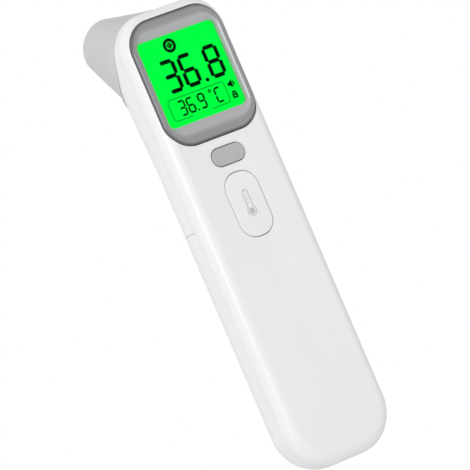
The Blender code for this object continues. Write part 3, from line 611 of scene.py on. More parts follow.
def ease_front(bm, level, size):
    """Ease the edges between a flat front at a level and the walls that go back from it."""
    bm.normal_update()
    edges = []
    for edge in bm.edges:
        if any(abs(vert.co.y - level) > 1e-5 for vert in edge.verts) or len(edge.link_faces) != 2:
            continue
        turns = sorted(abs(face.normal.y) for face in edge.link_faces)
        if turns[0] < 0.2 and turns[1] > 0.9:
            edges.append(edge)
    bevel(bm, edges, size, 2)


def front_points(bm):
    """The points round a solid's front face; the solid is used up."""
    points = [vert.co.copy() for vert in facing(bm, FORWARD)[0].verts]
    bm.free()
    return points


def outline(low, high, corner, y):
    """The points round a rounded rectangle that faces the front, always from the same place."""
    points = front_points(plate((low[0], y, low[2]), (high[0], y + MM, high[2]), corner))
    first = max(range(len(points)), key=lambda i: round(points[i].z, 6) * 1000 + points[i].x)
    points = points[first:] + points[:first]
    if points[1].x > points[-1].x:
        points = [points[0]] + points[:0:-1]
    return points


def skin(rings, closed=False, cap_ends=False):
    """A surface through rings of the same number of points, each extruded from the one before."""
    bm = bmesh.new()
    first = bmesh.ops.create_circle(bm, segments=len(rings[0]), radius=1.0)["verts"]
    for vert, point in zip(first, rings[0]):
        vert.co = point
    loop = first
    for ring in rings[1:] + (rings[:1] if closed else []):
        edges = [bm.edges.get(pair) for pair in zip(loop, loop[1:] + loop[:1])]
        made = set(bmesh.ops.extrude_edge_only(bm, edges=edges)["geom"])
        loop = [next(edge.other_vert(vert) for edge in vert.link_edges if edge.other_vert(vert) in made)
                for vert in loop]
        for vert, point in zip(loop, ring):
            vert.co = point
    if closed:
        bmesh.ops.remove_doubles(bm, verts=bm.verts[:], dist=1e-7)
    if cap_ends:
        for ends in (first, loop):
            edges = [bm.edges.get(pair) for pair in zip(ends, ends[1:] + ends[:1])]
            bmesh.ops.contextual_create(bm, geom=edges)
    bmesh.ops.recalc_face_normals(bm, faces=bm.faces[:])
    return bm


def turned(profile, matrix, steps=TURN_STEPS):
    """A closed profile of (radius, height) points spun about local Z."""
    bm = bmesh.new()
    verts = [bm.verts.new((radius, 0, height)) for radius, height in profile]
    edges = [bm.edges.new(pair) for pair in zip(verts, verts[1:] + verts[:1])]
    bmesh.ops.spin(bm, geom=verts + edges, axis=(0, 0, 1), cent=(0, 0, 0), angle=2 * math.pi, steps=steps,
                   use_merge=True, use_duplicate=False)
    bmesh.ops.remove_doubles(bm, verts=bm.verts[:], dist=TOUCH)
    bmesh.ops.recalc_face_normals(bm, faces=bm.faces[:])
    bmesh.ops.transform(bm, matrix=matrix, verts=bm.verts[:])
    return bm


def cylinder(radius, low, high, matrix, steps=TURN_STEPS):
    """A solid cylinder between two heights along local Z."""
    bm = bmesh.new()
    bmesh.ops.create_cone(bm, cap_ends=True, segments=steps, radius1=radius, radius2=radius,
                          depth=high - low)
    bmesh.ops.translate(bm, vec=(0, 0, (low + high) / 2), verts=bm.verts[:])
    bmesh.ops.transform(bm, matrix=matrix, verts=bm.verts[:])
    return bm


def margin(size):
    """A step sideways and up, in the plane of the front face."""
    return Vector((size, 0, size))


def to_back(x, y, z):
    """Local Z from front to back, with its origin at a point."""
    return Matrix.Translation((x, y, z)) @ Matrix.Rotation(-math.pi / 2, 4, 'X')


def slice_off(bm, point, normal):
    """Cut a closed solid by a plane, drop the side the normal points to, and close the cut."""
    result = bmesh.ops.bisect_plane(bm, geom=everything(bm), dist=TOUCH, plane_co=point, plane_no=normal,
                                    clear_outer=True)
    edges = [item for item in result["geom_cut"] if isinstance(item, bmesh.types.BMEdge)]
    bmesh.ops.contextual_create(bm, geom=edges)
    bmesh.ops.recalc_face_normals(bm, faces=bm.faces[:])
    return bm


def halve(low, high, below):
    """The value between low and high up to which below holds, found by halving."""
    for _ in range(HALVINGS):
        middle = (low + high) / 2
        low, high = (middle, high) if below(middle) else (low, middle)
    return low


def quarter(steps):
    """Sine and cosine at even steps through a quarter turn."""
    turns = [math.pi / 2 * step / steps for step in range(steps + 1)]
    return [(math.sin(turn), math.cos(turn)) for turn in turns]


# ---- forms shared by the shells, the seat and the cap ----
def place(x, depth, height):
    """The point at x, a depth behind the front face and a height above the bottom end."""
    return Vector((x, FACE_Y + depth, BOTTOM_Z + height))


class Form:
    """The outer form of handle and head, worked out from the shell and cap settings."""

    def __init__(self, scene):
        self.shell = scene.thermo_shell
        self.cap = scene.thermo_cap
        self.back = self.shell.handle_depth + self.shell.flare
        rise = self.back - self.cap.seat_top
        self.seat_height = rise / AXIS.z
        self.seat_drop = self.seat_height * AXIS.y
        top = place(0, self.cap.seat_top, LENGTH)
        self.seat = top - SEAT_UP * (self.seat_height / 2)

    def seat_matrix(self):
        """Local Z along the probe, local Y up the cap's seat, origin at the seat's centre."""
        turn = Matrix((Vector((-1, 0, 0)), SEAT_UP, AXIS)).transposed().to_4x4()
        return Matrix.Translation(self.seat) @ turn

    def slab(self, inset, start, end):
        """The body's outline, drawn in by inset, as a plate between two depths."""
        shell = self.shell
        low = place(-HALF_WIDTH + inset, start, inset)
        high = place(HALF_WIDTH - inset, end, LENGTH - inset)
        return plate(low, high, shell.top_corner - inset, shell.bottom_corner - inset)

    def rabbet(self):
        """Room for the front shell's lip round the inside of the shells behind it."""
        return self.slab(self.shell.wall - LIP_WALL - GAP, PARTING - 2 * GAP, PARTING + LIP)

    def swell(self, height):
        """Share of the flare at a height."""
        start = DISPLAY_HEIGHT - self.shell.flare_run
        rise = min(max((height - start) / self.shell.flare_run, 0), 1)
        return rise * rise * (3 - 2 * rise)

    def skirt_depth(self, height, share):
        """Depth of the cap's edge at a height: 0 is the skirt's curved edge, 1 the seat's plane."""
        drop = (LENGTH - height) / self.seat_drop
        curved = self.cap.skirt_top + (self.back - self.cap.skirt_top) * max(drop, 0) ** 2
        plane = self.cap.seat_top + (self.back - self.cap.seat_top) * drop
        return curved + (plane - curved) * share

    def outside(self, point):
        """Whether a point lies outside the form."""
        depth, height = point.y - FACE_Y, point.z - BOTTOM_Z
        back = self.shell.handle_depth + self.shell.flare * self.swell(height)
        turn = self.shell.back_round
        run = max(depth - (back - turn), 0)
        if run >= turn:
            return True
        inset = turn - math.sqrt(turn ** 2 - run ** 2)
        radius = max(self.shell.top_corner - inset, 0)
        past_x = max(abs(point.x) - (HALF_WIDTH - inset - radius), 0)
        past_z = max(height - (LENGTH - inset - radius), 0)
        return math.hypot(past_x, past_z) > radius

    def seat_point(self, across, up, share):
        """Height over the seat's plane of the cap's edge surface."""
        start = self.seat + Vector((across, 0, 0)) + SEAT_UP * up

        def before(height):
            point = start + AXIS * height
            return point.y - FACE_Y <= self.skirt_depth(point.z - BOTTOM_Z, share)

        return halve(-2 * HALF_WIDTH, 2 * HALF_WIDTH, before)

    def seat_edge(self, angle, share):
        """Distance from the probe's axis to the body's side, along the cap's edge surface."""
        def inside(reach):
            across, up = reach * math.cos(angle), reach * math.sin(angle)
            height = self.seat_point(across, up, share)
            return not self.outside(self.seat + Vector((across, 0, 0)) + SEAT_UP * up + AXIS * height)

        return halve(0.0, 2 * HALF_WIDTH, inside)

    def rear(self, inset, start):
        """The closed form behind a depth, drawn in by inset, with its flare."""
        shell = self.shell
        bm = self.slab(inset, start, shell.handle_depth - inset)
        round_rim(bm, BACKWARD, shell.back_round - inset, ROUND_STEPS)
        bottom = BOTTOM_Z + DISPLAY_HEIGHT - shell.flare_run
        for step in range(FLARE_STEPS + 1):
            level = Vector((0, 0, bottom + shell.flare_run * step / FLARE_STEPS))
            bmesh.ops.bisect_plane(bm, geom=everything(bm), dist=TOUCH, plane_co=level, plane_no=UP)
        for vert in bm.verts:
            back = (vert.co.y - FACE_Y - PARTING) / (shell.handle_depth - PARTING)
            swell = self.swell(vert.co.z - BOTTOM_Z)
            vert.co.y += shell.flare * swell * min(max(back, 0), 1)
        return bm

    def behind_skirt(self, forward):
        """A solid that holds everything behind the skirt's edge, brought forward."""
        edge = []
        first = LENGTH + self.shell.wall
        last = LENGTH - self.seat_drop * SKIRT_REACH
        for step in range(SKIRT_STEPS + 1):
            height = first + (last - first) * step / SKIRT_STEPS
            edge.append((self.skirt_depth(height, 0) - forward, height))
        far = 4 * self.shell.handle_depth
        edge += [(far, last), (far, first)]
        rings = [[place(x, depth, height) for depth, height in edge]
                 for x in (-2 * HALF_WIDTH, 2 * HALF_WIDTH)]
        return skin(rings, cap_ends=True)


class ThermoOperator(bpy.types.Operator):
    """Base of the operators below, each of which builds its own pieces"""
    bl_options = {'REGISTER', 'UNDO'}

    def execute(self, context):
        self.build(context.scene, Form(context.scene))
        return {'FINISHED'}


# ---- shells ----
class THERMO_OT_front_shell(ThermoOperator):
    """Front shell: rounded plate with openings for the bezel and the two keys"""
    bl_idname = "thermo.front_shell"
    bl_label = "Front Shell"

    def build(self, scene, form):
        shell, keys = form.shell, scene.thermo_keys
        wall = shell.wall
        bm = form.slab(0, 0, PARTING - FINE_GAP)
        round_rim(bm, FORWARD, shell.front_round, ROUND_STEPS)
        inner = form.slab(wall, wall, PARTING + wall)
        round_rim(inner, FORWARD, shell.front_round - wall, ROUND_STEPS)
        bm = boolean(bm, inner)
        for low, high, flange, corner, gap in (
                (BEZEL_LOW, BEZEL_HIGH, 0, scene.thermo_display.bezel_round, BEZEL_GAP),
                (MODE_LOW, MODE_HIGH, keys.flange, keys.mode_round, GAP),
                (MEASURE_LOW, MEASURE_HIGH, keys.flange, keys.measure_round, MEASURE_GAP)):
            out = margin(gap - flange)
            low, high = low - out, high + out
            low.y, high.y = FACE_Y - OPENING_DEPTH, FACE_Y + OPENING_DEPTH
            bm = boolean(bm, plate(low, high, corner + gap))
        ease_front(bm, FACE_Y, EASE)
        self.lip(bm, form)
        self.bosses(bm, wall)
        finish_piece("front_shell_looks", bm, [white_abs(scene)], "root", "white_shell", "front_shell")

    def lip(self, bm, form):
        """Thin lip that enters the shells behind."""
        outer = form.shell.wall - LIP_WALL
        inner = form.shell.wall
        start, end = PARTING - 2 * GAP, PARTING + LIP
        rings = [front_points(form.slab(inset, depth, depth + GAP))
                 for inset, depth in ((outer, start), (outer, end), (inner, end), (inner, start))]
        join(bm, skin(rings, closed=True))

    def bosses(self, bm, wall):
        """A hollow boss in front of each screw that enters this shell."""
        for name in frame["nodes"]:
            if "_screw_" not in name:
                continue
            low, high = span(name)
            centre = (low + high) / 2
            start, end = wall - GAP, low.y + SCREW_REACH - FACE_Y
            profile = [(SCREW_ROOM, start), (BOSS_R, start), (BOSS_R, end), (SCREW_ROOM, end)]
            join(bm, turned(profile, to_back(centre.x, FACE_Y, centre.z), HOLE_STEPS))


class THERMO_OT_rear_shell(ThermoOperator):
    """Rear shell: flared back, spigot inside the cap and the seat of the probe"""
    bl_idname = "thermo.rear_shell"
    bl_label = "Rear Shell"

    def build(self, scene, form):
        wall = form.shell.wall
        spigot_inset = form.cap.cap_wall + GAP
        bm = slice_off(form.rear(0, PARTING), Vector((0, 0, SEAM_Z)), DOWN)
        bm = boolean(bm, form.behind_skirt(0))
        spigot = slice_off(form.rear(spigot_inset, PARTING), form.seat, AXIS)
        spigot = slice_off(spigot, place(0, 0, LENGTH - form.seat_drop - wall), DOWN)
        bm = boolean(bm, spigot, 'UNION')
        bm = boolean(bm, boolean(form.rear(wall, PARTING - GAP), form.behind_skirt(SPIGOT_WALL)))
        spigot_room = form.rear(spigot_inset + SPIGOT_WALL, PARTING - GAP)
        bm = boolean(bm, slice_off(spigot_room, form.seat - AXIS * wall, AXIS))
        bm = boolean(bm, form.rabbet())
        bm = boolean(bm, cylinder(PROBE_COLLAR_R + GAP, -4 * wall, 2 * wall, form.seat_matrix()))
        bm = self.tongue(bm, form.shell)
        finish_piece("rear_shell_looks", bm, [white_abs(scene)], "root", "white_shell", "rear_shell")

    def tongue(self, bm, shell):
        """Tongue that reaches down under the door, where the two shell screws hold this shell."""
        screws = [span(name) for name in frame["nodes"] if name.startswith("shell_screw")]
        spots = [(low + high) / 2 for low, high in screws]
        front = screws[0][0].y + SCREW_REACH + GAP
        top = SEAM_Z + TONGUE_RISE
        back = FACE_Y + shell.handle_depth - shell.wall / 2
        for low_y, high_y, low_z, high_z in (
                (front, front + TONGUE_WALL, spots[0].z - BOSS_R, top),
                (front + TONGUE_WALL / 2, back, SEAM_Z + GAP, top - FINE_GAP)):
            web = plate((-TONGUE_HALF, low_y, low_z), (TONGUE_HALF, high_y, high_z), TONGUE_CORNER,
                        steps=CORNER_STEPS)
            bm = boolean(bm, web, 'UNION')
        for spot in spots:
            hole = cylinder(SCREW_ROOM, -GAP, TONGUE_WALL + GAP, to_back(spot.x, front, spot.z), HOLE_STEPS)
            bm = boolean(bm, hole)
        return bm


class THERMO_OT_battery_door(ThermoOperator):
    """Battery door: the lower back, which slides off downwards, with its thumb ribs"""
    bl_idname = "thermo.battery_door"
    bl_label = "Battery Door"

    def build(self, scene, form):
        bm = slice_off(form.rear(0, PARTING), Vector((0, 0, COVER_TOP)), UP)
        bm = boolean(bm, form.rear(form.shell.wall, PARTING - GAP))
        bm = boolean(bm, form.rabbet())
        bm = self.grip(bm, form.shell.handle_depth)
        finish_piece("battery_door_looks", bm, [white_abs(scene)], "battery_door", "white_shell",
                     "battery_cover")

    def grip(self, bm, back):
        """Shallow grooves across the back, where a thumb pushes the door down."""
        for step in range(RIBS):
            height = COVER_TOP - BOTTOM_Z - RIB_DROP - step * RIB_PITCH
            width = RIB_HALF * math.sqrt(1 - ((step - (RIBS - 1) / 2) / RIBS * RIB_BOW) ** 2)
            centre = place(0, back + RIB_R - RIB_DEPTH, height)
            matrix = Matrix.Translation(centre) @ Matrix.Rotation(math.pi / 2, 4, 'Y')
            bm = boolean(bm, cylinder(RIB_R, -width, width, matrix, HOLE_STEPS))
        return bm


# ---- bezel and display ----
class THERMO_OT_bezel(ThermoOperator):
    """Bezel: silver band that sinks to the window, inside a rounded rim painted darker as shade"""
    bl_idname = "thermo.bezel"
    bl_label = "Bezel"

    def build(self, scene, form):
        display = scene.thermo_display
        rim, front, back = display.rim, BEZEL_LOW.y, BEZEL_HIGH.y
        rings = [self.ring(display, 0, back)]
        for sine, cosine in quarter(RIM_STEPS):
            rings.append(self.ring(display, rim * (1 - cosine), front + rim * (1 - sine)))
        start = self.ring(display, rim, front)
        end = outline(LENS_LOW - margin(GAP), LENS_HIGH + margin(GAP), display.window_round, front)
        for step in range(1, BAND_STEPS + 1):
            share = step / BAND_STEPS
            sink = Vector((0, BAND_DISH * share ** 2, 0))
            rings.append([first.lerp(last, share) + sink for first, last in zip(start, end)])
        rings.append([point + Vector((0, back - front, 0)) for point in end])
        bm = skin(rings, closed=True)
        # Faces on the rim get the lacquer with the darker painted shade
        for face in bm.faces:
            face.material_index = int(self.on_rim(face.calc_center_median(), display))
        silver = silver_lacquer("lacquer_silver", display.silver_painted_shade, display.silver, SILVER_SHADE_RUN, 0.38)
        darker = silver_lacquer("lacquer_rim", display.silver_painted_shade, display.rim_painted_shade, RIM_SHADE_RUN, 0.34)
        finish_piece("bezel_looks", bm, [silver, darker], "root", "silver_bezel", "display_bezel")

    def ring(self, display, inset, y):
        """The bezel's outline, drawn in by inset."""
        edge = margin(inset)
        return outline(BEZEL_LOW + edge, BEZEL_HIGH - edge, display.bezel_round - inset, y)

    def on_rim(self, point, display):
        """Whether a point lies on the rim, outside the band round the window."""
        centre, half = (BEZEL_LOW + BEZEL_HIGH) / 2, (BEZEL_HIGH - BEZEL_LOW) / 2
        x, z = abs(point.x - centre.x), abs(point.z - centre.z)
        if x > half.x - display.rim or z >= half.z - display.rim:
            return True
        corner_x, corner_z = x - (half.x - display.bezel_round), z - (half.z - display.bezel_round)
        in_corner = corner_x > 0 and corner_z > 0
        return in_corner and math.hypot(corner_x, corner_z) > display.bezel_round - display.rim


class THERMO_OT_display(ThermoOperator):
    """Display: backlit panel, its segments and the clear lens in front"""
    bl_idname = "thermo.display"
    bl_label = "Display"

    def build(self, scene, form):
        display = scene.thermo_display
        low, high = LENS_LOW - margin(GLOW_SPARE), LENS_HIGH + margin(GLOW_SPARE)
        low.y, high.y = FACE_Y + GLOW_DEPTH, LCD_LOW.y - FILM_GAP
        bm = plate(low, high, display.window_round)
        join(bm, plate(LCD_LOW, LCD_HIGH, LCD_CORNER))
        green = backlit_film("film_backlit_green", display.green)
        finish_piece("lcd_looks", bm, [green], "root", "lcd_green", "lcd_panel")
        high.y = FACE_Y + GLOW_DEPTH - LENS_GAP
        low.y = high.y - LENS_WALL
        lens = plate(low, high, display.window_round)
        finish_piece("lens_looks", lens, [clear_acrylic("acrylic_clear")], "root", "clear_lens",
                     "display_lens")
        ink = display_ink("liquid_crystal_dark", display.ink)
        finish_piece("lcd_segments", self.segments(display), [ink], "root", "dark_plastic")

    def segments(self, display):
        """Both readings, their signs, the frame line and the icons."""
        bm = bmesh.new()
        for reading, top, width, height, stroke in (
                (LARGE_READING, LARGE_TOP, LARGE_WIDTH, display.numeral_height / MM, LARGE_STROKE),
                (SMALL_READING, SMALL_TOP, SMALL_WIDTH, display.small_height / MM, SMALL_STROKE)):
            for shape, x in reading:
                self.numeral(bm, shape, x, top - height, width, height, stroke)
        for x, z, outer, inner in RINGS:
            self.ring(bm, x, z, outer, inner)
        self.frame_line(bm)
        for bar in (*MARK_BARS, *SPEAKER):
            self.bar(bm, *bar)
        x, z = PADLOCK_AT
        for low_x, low_z, high_x, high_z in PADLOCK:
            self.bar(bm, x + low_x, z + low_z, x + high_x, z + high_z, ICON_CORNER)
        return bm

    def bar(self, bm, low_x, low_z, high_x, high_z, corner=0.1):
        """A flat rounded bar of ink between two corners."""
        y = FACE_Y + GLOW_DEPTH
        low = (DISPLAY.x + low_x * MM, y - INK_WALL, DISPLAY.z + low_z * MM)
        high = (DISPLAY.x + high_x * MM, y + INK_WALL, DISPLAY.z + high_z * MM)
        join(bm, plate(low, high, corner * MM, steps=CORNER_STEPS))

    def ring(self, bm, x, z, outer, inner):
        """A flat ring of ink."""
        outer, inner, wall = outer * MM, inner * MM, INK_WALL
        profile = [(outer, -wall), (outer, wall), (inner, wall), (inner, -wall)]
        matrix = to_back(DISPLAY.x + x * MM, FACE_Y + GLOW_DEPTH, DISPLAY.z + z * MM)
        join(bm, turned(profile, matrix, RING_STEPS))

    def numeral(self, bm, shape, x, z, width, height, stroke):
        """One seven-segment numeral with its lower left corner at (x, z)."""
        s, half = stroke, height / 2
        low, high = s * LEVEL_END, width - s * LEVEL_END
        down, up = s * UPRIGHT_END, half - s * MIDDLE_END
        bars = {
            "a": (low, height - s, high, height), "g": (low, half - s / 2, high, half + s / 2),
            "d": (low, 0, high, s), "e": (0, down, s, up), "c": (width - s, down, width, up),
            "f": (0, height - up, s, height - down), "b": (width - s, height - up, width, height - down),
        }
        for name in SHAPES[shape]:
            x0, z0, x1, z1 = bars[name]
            self.bar(bm, x + x0, z + z0, x + x1, z + z1, BAR_ROUND * s)

    def frame_line(self, bm):
        """Fine line round the second reading, open in the middle of its lower side."""
        low_x, low_z, high_x, high_z = FRAME_LINE
        line, inside, opening = bmesh.new(), bmesh.new(), bmesh.new()
        self.bar(line, *FRAME_LINE, FRAME_CORNER)
        self.bar(inside, low_x + FRAME_WIDTH, low_z + FRAME_WIDTH, high_x - FRAME_WIDTH,
                 high_z - FRAME_WIDTH, FRAME_CORNER - FRAME_WIDTH)
        self.bar(opening, *FRAME_OPENING)
        for cutter in (inside, opening):
            bmesh.ops.scale(cutter, vec=(1, 4, 1), space=Matrix.Translation((0, -FACE_Y - GLOW_DEPTH, 0)),
                            verts=cutter.verts[:])
            line = boolean(line, cutter)
        join(bm, line)


# ---- keys ----
class THERMO_OT_keys(ThermoOperator):
    """Keys: small grey mode key and large white measure key with its printed mark"""
    bl_idname = "thermo.keys"
    bl_label = "Keys"

    def build(self, scene, form):
        keys = scene.thermo_keys
        grey = moulded_abs("abs_key_grey", keys.grey, 0.36, 0.3, 0.006)
        bm = self.key(MODE_LOW, MODE_HIGH, keys.mode_round, keys.flange, MODE_PROUD)
        finish_piece("mode_key_looks", bm, [grey], "mode_key", "button_grey", "mode_button")
        bm = self.key(MEASURE_LOW, MEASURE_HIGH, keys.measure_round, keys.flange, MEASURE_PROUD)
        finish_piece("measure_key_looks", bm, [white_abs(scene)], "measure_key", "white_shell",
                     "measure_button")
        print_grey = soft_rubber("print_grey", keys.mark)
        finish_piece("measure_key_mark", self.mark(), [print_grey], "measure_key", "button_grey")

    def key(self, low, high, corner, flange, proud):
        """A cap that fills its opening, a flange behind the shell and a stem over the switch."""
        face_low, face_high = low + margin(flange), high - margin(flange)
        back_low, back_high = low.copy(), high.copy()
        back_low.y = FACE_Y + KEY_FLANGE_FRONT
        back_high.y = back_low.y + KEY_FLANGE_WALL
        face_low.y, face_high.y = FACE_Y - proud, back_low.y + KEY_OVERLAP
        bm = plate(face_low, face_high, corner)
        round_rim(bm, FORWARD, KEY_ROUND, KEY_STEPS)
        bm = boolean(bm, plate(back_low, back_high, corner + flange), 'UNION')
        centre = (low + high) / 2
        stem = cylinder(KEY_STEM_R, back_high.y - KEY_OVERLAP, high.y, to_back(centre.x, 0, centre.z),
                        STEM_STEPS)
        join(bm, stem)
        return bm

    def mark(self):
        """Printed outline of a thermometer: tube, bulb and its scale."""
        centre = (MEASURE_LOW + MEASURE_HIGH) / 2
        y = FACE_Y - MEASURE_PROUD
        low = Vector((centre.x, y, centre.z - MARK_LOW))
        high = Vector((centre.x, y, centre.z + MARK_HIGH))
        bm = bmesh.new()
        join(bm, boolean(self.tube_and_bulb(low, high, 0), self.tube_and_bulb(low, high, MARK_LINE)))
        join(bm, self.spot(low + UP * MARK_BULB, MARK_MERCURY))
        for step in range(MARK_SCALE):
            height = MARK_FIRST + step * MARK_PITCH
            join(bm, self.spot(low + Vector((-MARK_SHIFT, 0, height)), MARK_DOT))
        return bm

    def spot(self, centre, radius, wall=INK_WALL, steps=STEM_STEPS):
        matrix = to_back(centre.x, 0, centre.z)
        return cylinder(radius, centre.y - wall, centre.y + wall, matrix, steps)

    def tube_and_bulb(self, low, high, inset):
        """The mark's filled shape, drawn in by inset, and thicker where it is a cutter."""
        wall = INK_WALL * (3 if inset else 1)
        half = MARK_TUBE - inset
        reach = Vector((half, wall, 0))
        tube = plate(low + UP * MARK_BULB - reach, high - UP * inset + reach, half * MARK_ROUND,
                     steps=TUBE_STEPS)
        bulb = self.spot(low + UP * MARK_BULB, MARK_BULB - inset, wall, RING_STEPS)
        return boolean(tube, bulb, 'UNION')


# ---- cap and probe ----
class THERMO_OT_cap(ThermoOperator):
    """Cap: a hollow cone from the head's own outline to a round flat ring"""
    bl_idname = "thermo.cap"
    bl_label = "Forehead Cap"

    def build(self, scene, form):
        cap = form.cap
        angles = [2 * math.pi * step / TURN_STEPS for step in range(TURN_STEPS)]
        shares = [step / SKIRT_RINGS for step in range(SKIRT_RINGS + 1)]
        edges = {share: [form.seat_edge(angle, share) for angle in angles] for share in shares}

        def skirt(share, inset):
            """A ring of the skirt, which lies along the body's side."""
            points = []
            for angle, edge in zip(angles, edges[share]):
                across, up = (edge - inset) * math.cos(angle), (edge - inset) * math.sin(angle)
                points.append((-across, up, form.seat_point(across, up, share) + GAP))
            return points

        def cone(share, inset, height):
            """A ring between the seat's outline and the round tip."""
            reaches = [edge + (cap.tip - edge) * share - inset for edge in edges[1]]
            return [(-reach * math.cos(angle), reach * math.sin(angle), height)
                    for angle, reach in zip(angles, reaches)]

        def circle(radius, height):
            return [(-radius * math.cos(angle), radius * math.sin(angle), height) for angle in angles]

        last, wall, ease = cap.cap_length, cap.cap_wall, cap.cap_wall * CAP_EASE
        rings = [skirt(share, 0) for share in shares]
        rings += [cone(step / CONE_RINGS, 0, GAP + (last - ease - GAP) * step / CONE_RINGS)
                  for step in range(1, CONE_RINGS + 1)]
        rings += [circle(cap.tip - ease * (1 - cosine), last - ease * (1 - sine))
                  for sine, cosine in quarter(TIP_RINGS)[1:]]
        rings += [circle(cap.mouth + ease * (1 - sine), last - ease * (1 - cosine))
                  for sine, cosine in quarter(TIP_RINGS)]
        rings.append(circle(cap.mouth, last - wall))
        rings += [cone(share, wall, last * share) for share in CAP_INSIDE]
        collar = PROBE_COLLAR_R + GAP
        rings += [circle(collar, last * CAP_INSIDE[-1]), circle(collar, GAP)]
        rings += [skirt(share, wall) for share in reversed(shares)]
        bm = skin(rings, closed=True)
        bmesh.ops.transform(bm, matrix=form.seat_matrix(), verts=bm.verts[:])
        bmesh.ops.recalc_face_normals(bm, faces=bm.faces[:])
        grey = moulded_abs("abs_cap_grey_matt", cap.grey, 0.5, 0.5, 0.014)
        finish_piece("cap_looks", bm, [grey], "cap", "grey_cap", "forehead_cap")


class THERMO_OT_probe(ThermoOperator):
    """Ear probe: a smooth tapered tube on a collar, under the cap"""
    bl_idname = "thermo.probe"
    bl_label = "Ear Probe"

    def build(self, scene, form):
        top = -form.shell.wall - GAP
        low = top - PROBE_FLANGE_WALL
        tip, ease = PROBE_LENGTH, PROBE_EASE
        seat = tip - FILM_WALL - GAP
        profile = [(FILM_R + GAP, tip)]
        profile += [(PROBE_TIP_R - ease * (1 - sine), tip - ease * (1 - cosine))
                    for sine, cosine in quarter(TIP_RINGS)]
        for step in range(1, PROBE_STEPS + 1):
            share = step / PROBE_STEPS
            radius = PROBE_TIP_R + (PROBE_ROOT_R - PROBE_TIP_R) * share ** 2
            profile.append((radius, tip - ease + (PROBE_COLLAR + ease - tip + ease) * share))
        profile += [(PROBE_COLLAR_R - ease * (1 - sine), PROBE_COLLAR - ease * (1 - cosine))
                    for sine, cosine in quarter(TIP_RINGS)]
        profile += [(PROBE_COLLAR_R, top), (PROBE_FLANGE_R, top), (PROBE_FLANGE_R, low),
                    (PROBE_CAVITY_R, low), (PROBE_CAVITY_R, PROBE_CAVITY), (PROBE_BORE_R, PROBE_CAVITY),
                    (PROBE_BORE_R, seat), (FILM_R + GAP, seat)]
        bm = turned(profile, form.seat_matrix())
        finish_piece("ear_probe_looks", bm, [white_abs(scene)], "root", "white_shell", "ear_probe")


# ---- pieces kept from the model ----
class THERMO_OT_insides(ThermoOperator):
    """Insides: finishes for the board, tray, cells, springs, screws and sensor"""
    bl_idname = "thermo.insides"
    bl_label = "Insides"

    def build(self, scene, form):
        finishes = {
            "natural_plastic": moulded_abs("polycarbonate_natural", "#DAD8D0", 0.4),
            "dark_plastic": moulded_abs("abs_black_moulded", "#262627", 0.45),
            "rubber_grey": soft_rubber("silicone_grey", "#5A5A5C"),
            "board_green": solder_mask("solder_mask_green"),
            "steel": plated_metal("steel_nickel_plated", "#C9C9C7", 0.25),
            "gold_plate": plated_metal("brass_gold_plated", "#E5BE6C", 0.22),
            "cell_jacket": cell_film("film_cell_jacket"),
            "red_lead": soft_rubber("pvc_lead_red", "#B0201A"),
            "black_lead": soft_rubber("pvc_lead_black", "#1D1D1E"),
            "clear_lens": clear_acrylic("acrylic_clear"),
            "white_shell": white_abs(scene),
        }
        for node in frame["nodes"].values():
            for slot in node.material_slots:
                name = slot.material.name.split(".")[0]
                if name in finishes:
                    slot.material = finishes[name]


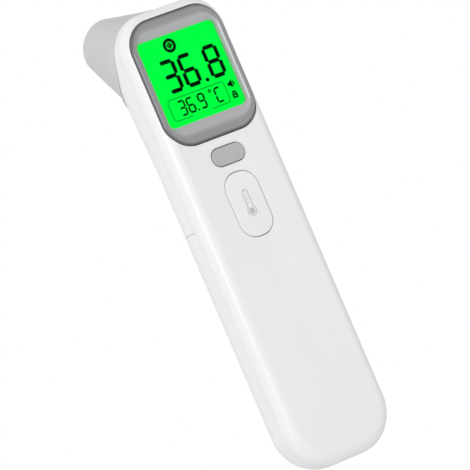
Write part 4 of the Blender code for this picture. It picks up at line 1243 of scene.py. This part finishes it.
# ---- studio ----
class THERMO_OT_studio(ThermoOperator):
    """Studio: pale floor, white surround, soft lights and the camera"""
    bl_idname = "thermo.studio"
    bl_label = "Studio"

    def build(self, scene, form):
        self.camera(scene, scene.thermo_studio)
        self.surround(scene)
        self.floor(scene.thermo_studio)
        for name, spot, size, power in LIGHTS:
            self.light(name, Vector(spot), size, power)
        scene.view_settings.view_transform = 'Standard'

    def camera(self, scene, studio):
        turn, rise, roll = studio.azimuth, studio.rise, studio.roll
        ahead = Vector((math.sin(turn) * math.cos(rise), math.cos(turn) * math.cos(rise), math.sin(rise)))
        right = Vector((math.cos(turn), -math.sin(turn), 0))
        down = ahead.cross(right)
        across = right * math.cos(roll) + down * math.sin(roll)
        below = down * math.cos(roll) - right * math.sin(roll)
        data = bpy.data.cameras.new("camera")
        data.lens = studio.lens
        data.sensor_width = SENSOR_WIDTH
        camera = add_object("camera", data)
        matrix = Matrix((across, -below, -ahead)).transposed().to_4x4()
        matrix.translation = AIM - ahead * studio.distance
        camera.matrix_world = matrix
        scene.camera = camera

    def surround(self, scene):
        """White behind the object, and softer, with its left side brighter, where it lights the object."""
        scene.world = bpy.data.worlds.new("surround")
        scene.world.use_nodes = True
        tree = scene.world.node_tree
        seen = add_node(tree, "ShaderNodeLightPath")
        sky = add_node(tree, "ShaderNodeTexCoord")
        side = add_node(tree, "ShaderNodeSeparateXYZ", links={"Vector": sky.outputs["Generated"]})
        fall = add_node(tree, "ShaderNodeMapRange",
                        inputs={"From Min": -1.0, "To Min": SURROUND_LEFT, "To Max": SURROUND_RIGHT},
                        links={"Value": side.outputs["X"]})
        level = add_node(tree, "ShaderNodeMapRange", inputs={"To Max": 1.0},
                         links={"Value": seen.outputs["Is Camera Ray"], "To Min": fall.outputs["Result"]})
        background = tree.nodes["Background"]
        background.inputs["Color"].default_value = (1, 1, 1, 1)
        tree.links.new(level.outputs["Result"], background.inputs["Strength"])

    def floor(self, studio):
        bm = bmesh.new()
        bmesh.ops.create_grid(bm, x_segments=1, y_segments=1, size=FLOOR_HALF)
        bmesh.ops.translate(bm, vec=(0, 0, BOTTOM_Z - studio.floor_drop), verts=bm.verts[:])
        floor = add_object("floor", to_mesh("floor", bm))
        floor.data.materials.append(backdrop_paper("paper_pale", "#EFEFEF"))

    def light(self, name, spot, size, power):
        data = bpy.data.lights.new(name, 'AREA')
        data.shape = 'DISK'
        data.size = size
        data.energy = power
        light = add_object(name, data)
        light.location = spot
        light.rotation_mode = 'QUATERNION'
        light.rotation_quaternion = (spot - AIM).to_track_quat('Z', 'Y')


OPERATORS = (
    THERMO_OT_front_shell, THERMO_OT_rear_shell, THERMO_OT_battery_door, THERMO_OT_bezel,
    THERMO_OT_display, THERMO_OT_keys, THERMO_OT_cap, THERMO_OT_probe, THERMO_OT_insides,
    THERMO_OT_studio,
)


class THERMO_PT_panel(bpy.types.Panel):
    """Sidebar panel with every size, colour and operator"""
    bl_label = "Thermometer"
    bl_idname = "THERMO_PT_panel"
    bl_space_type = 'VIEW_3D'
    bl_region_type = 'UI'
    bl_category = "Thermometer"

    def draw(self, context):
        for name, settings in SETTINGS.items():
            box = self.layout.box()
            group = getattr(context.scene, name)
            box.label(text=settings.__doc__)
            for key in settings.__annotations__:
                box.prop(group, key)
        for operator in OPERATORS:
            self.layout.operator(operator.bl_idname)


CLASSES = (*SETTINGS.values(), *OPERATORS, THERMO_PT_panel)


def register():
    for item in CLASSES:
        bpy.utils.register_class(item)
    for name, settings in SETTINGS.items():
        setattr(bpy.types.Scene, name, bpy.props.PointerProperty(type=settings))


def unregister():
    for name in SETTINGS:
        delattr(bpy.types.Scene, name)
    for item in reversed(CLASSES):
        bpy.utils.unregister_class(item)


def main():
    register()
    for operator in OPERATORS:
        group, name = operator.bl_idname.split(".")
        getattr(getattr(bpy.ops, group), name)()


if __name__ == "__main__":
    main()
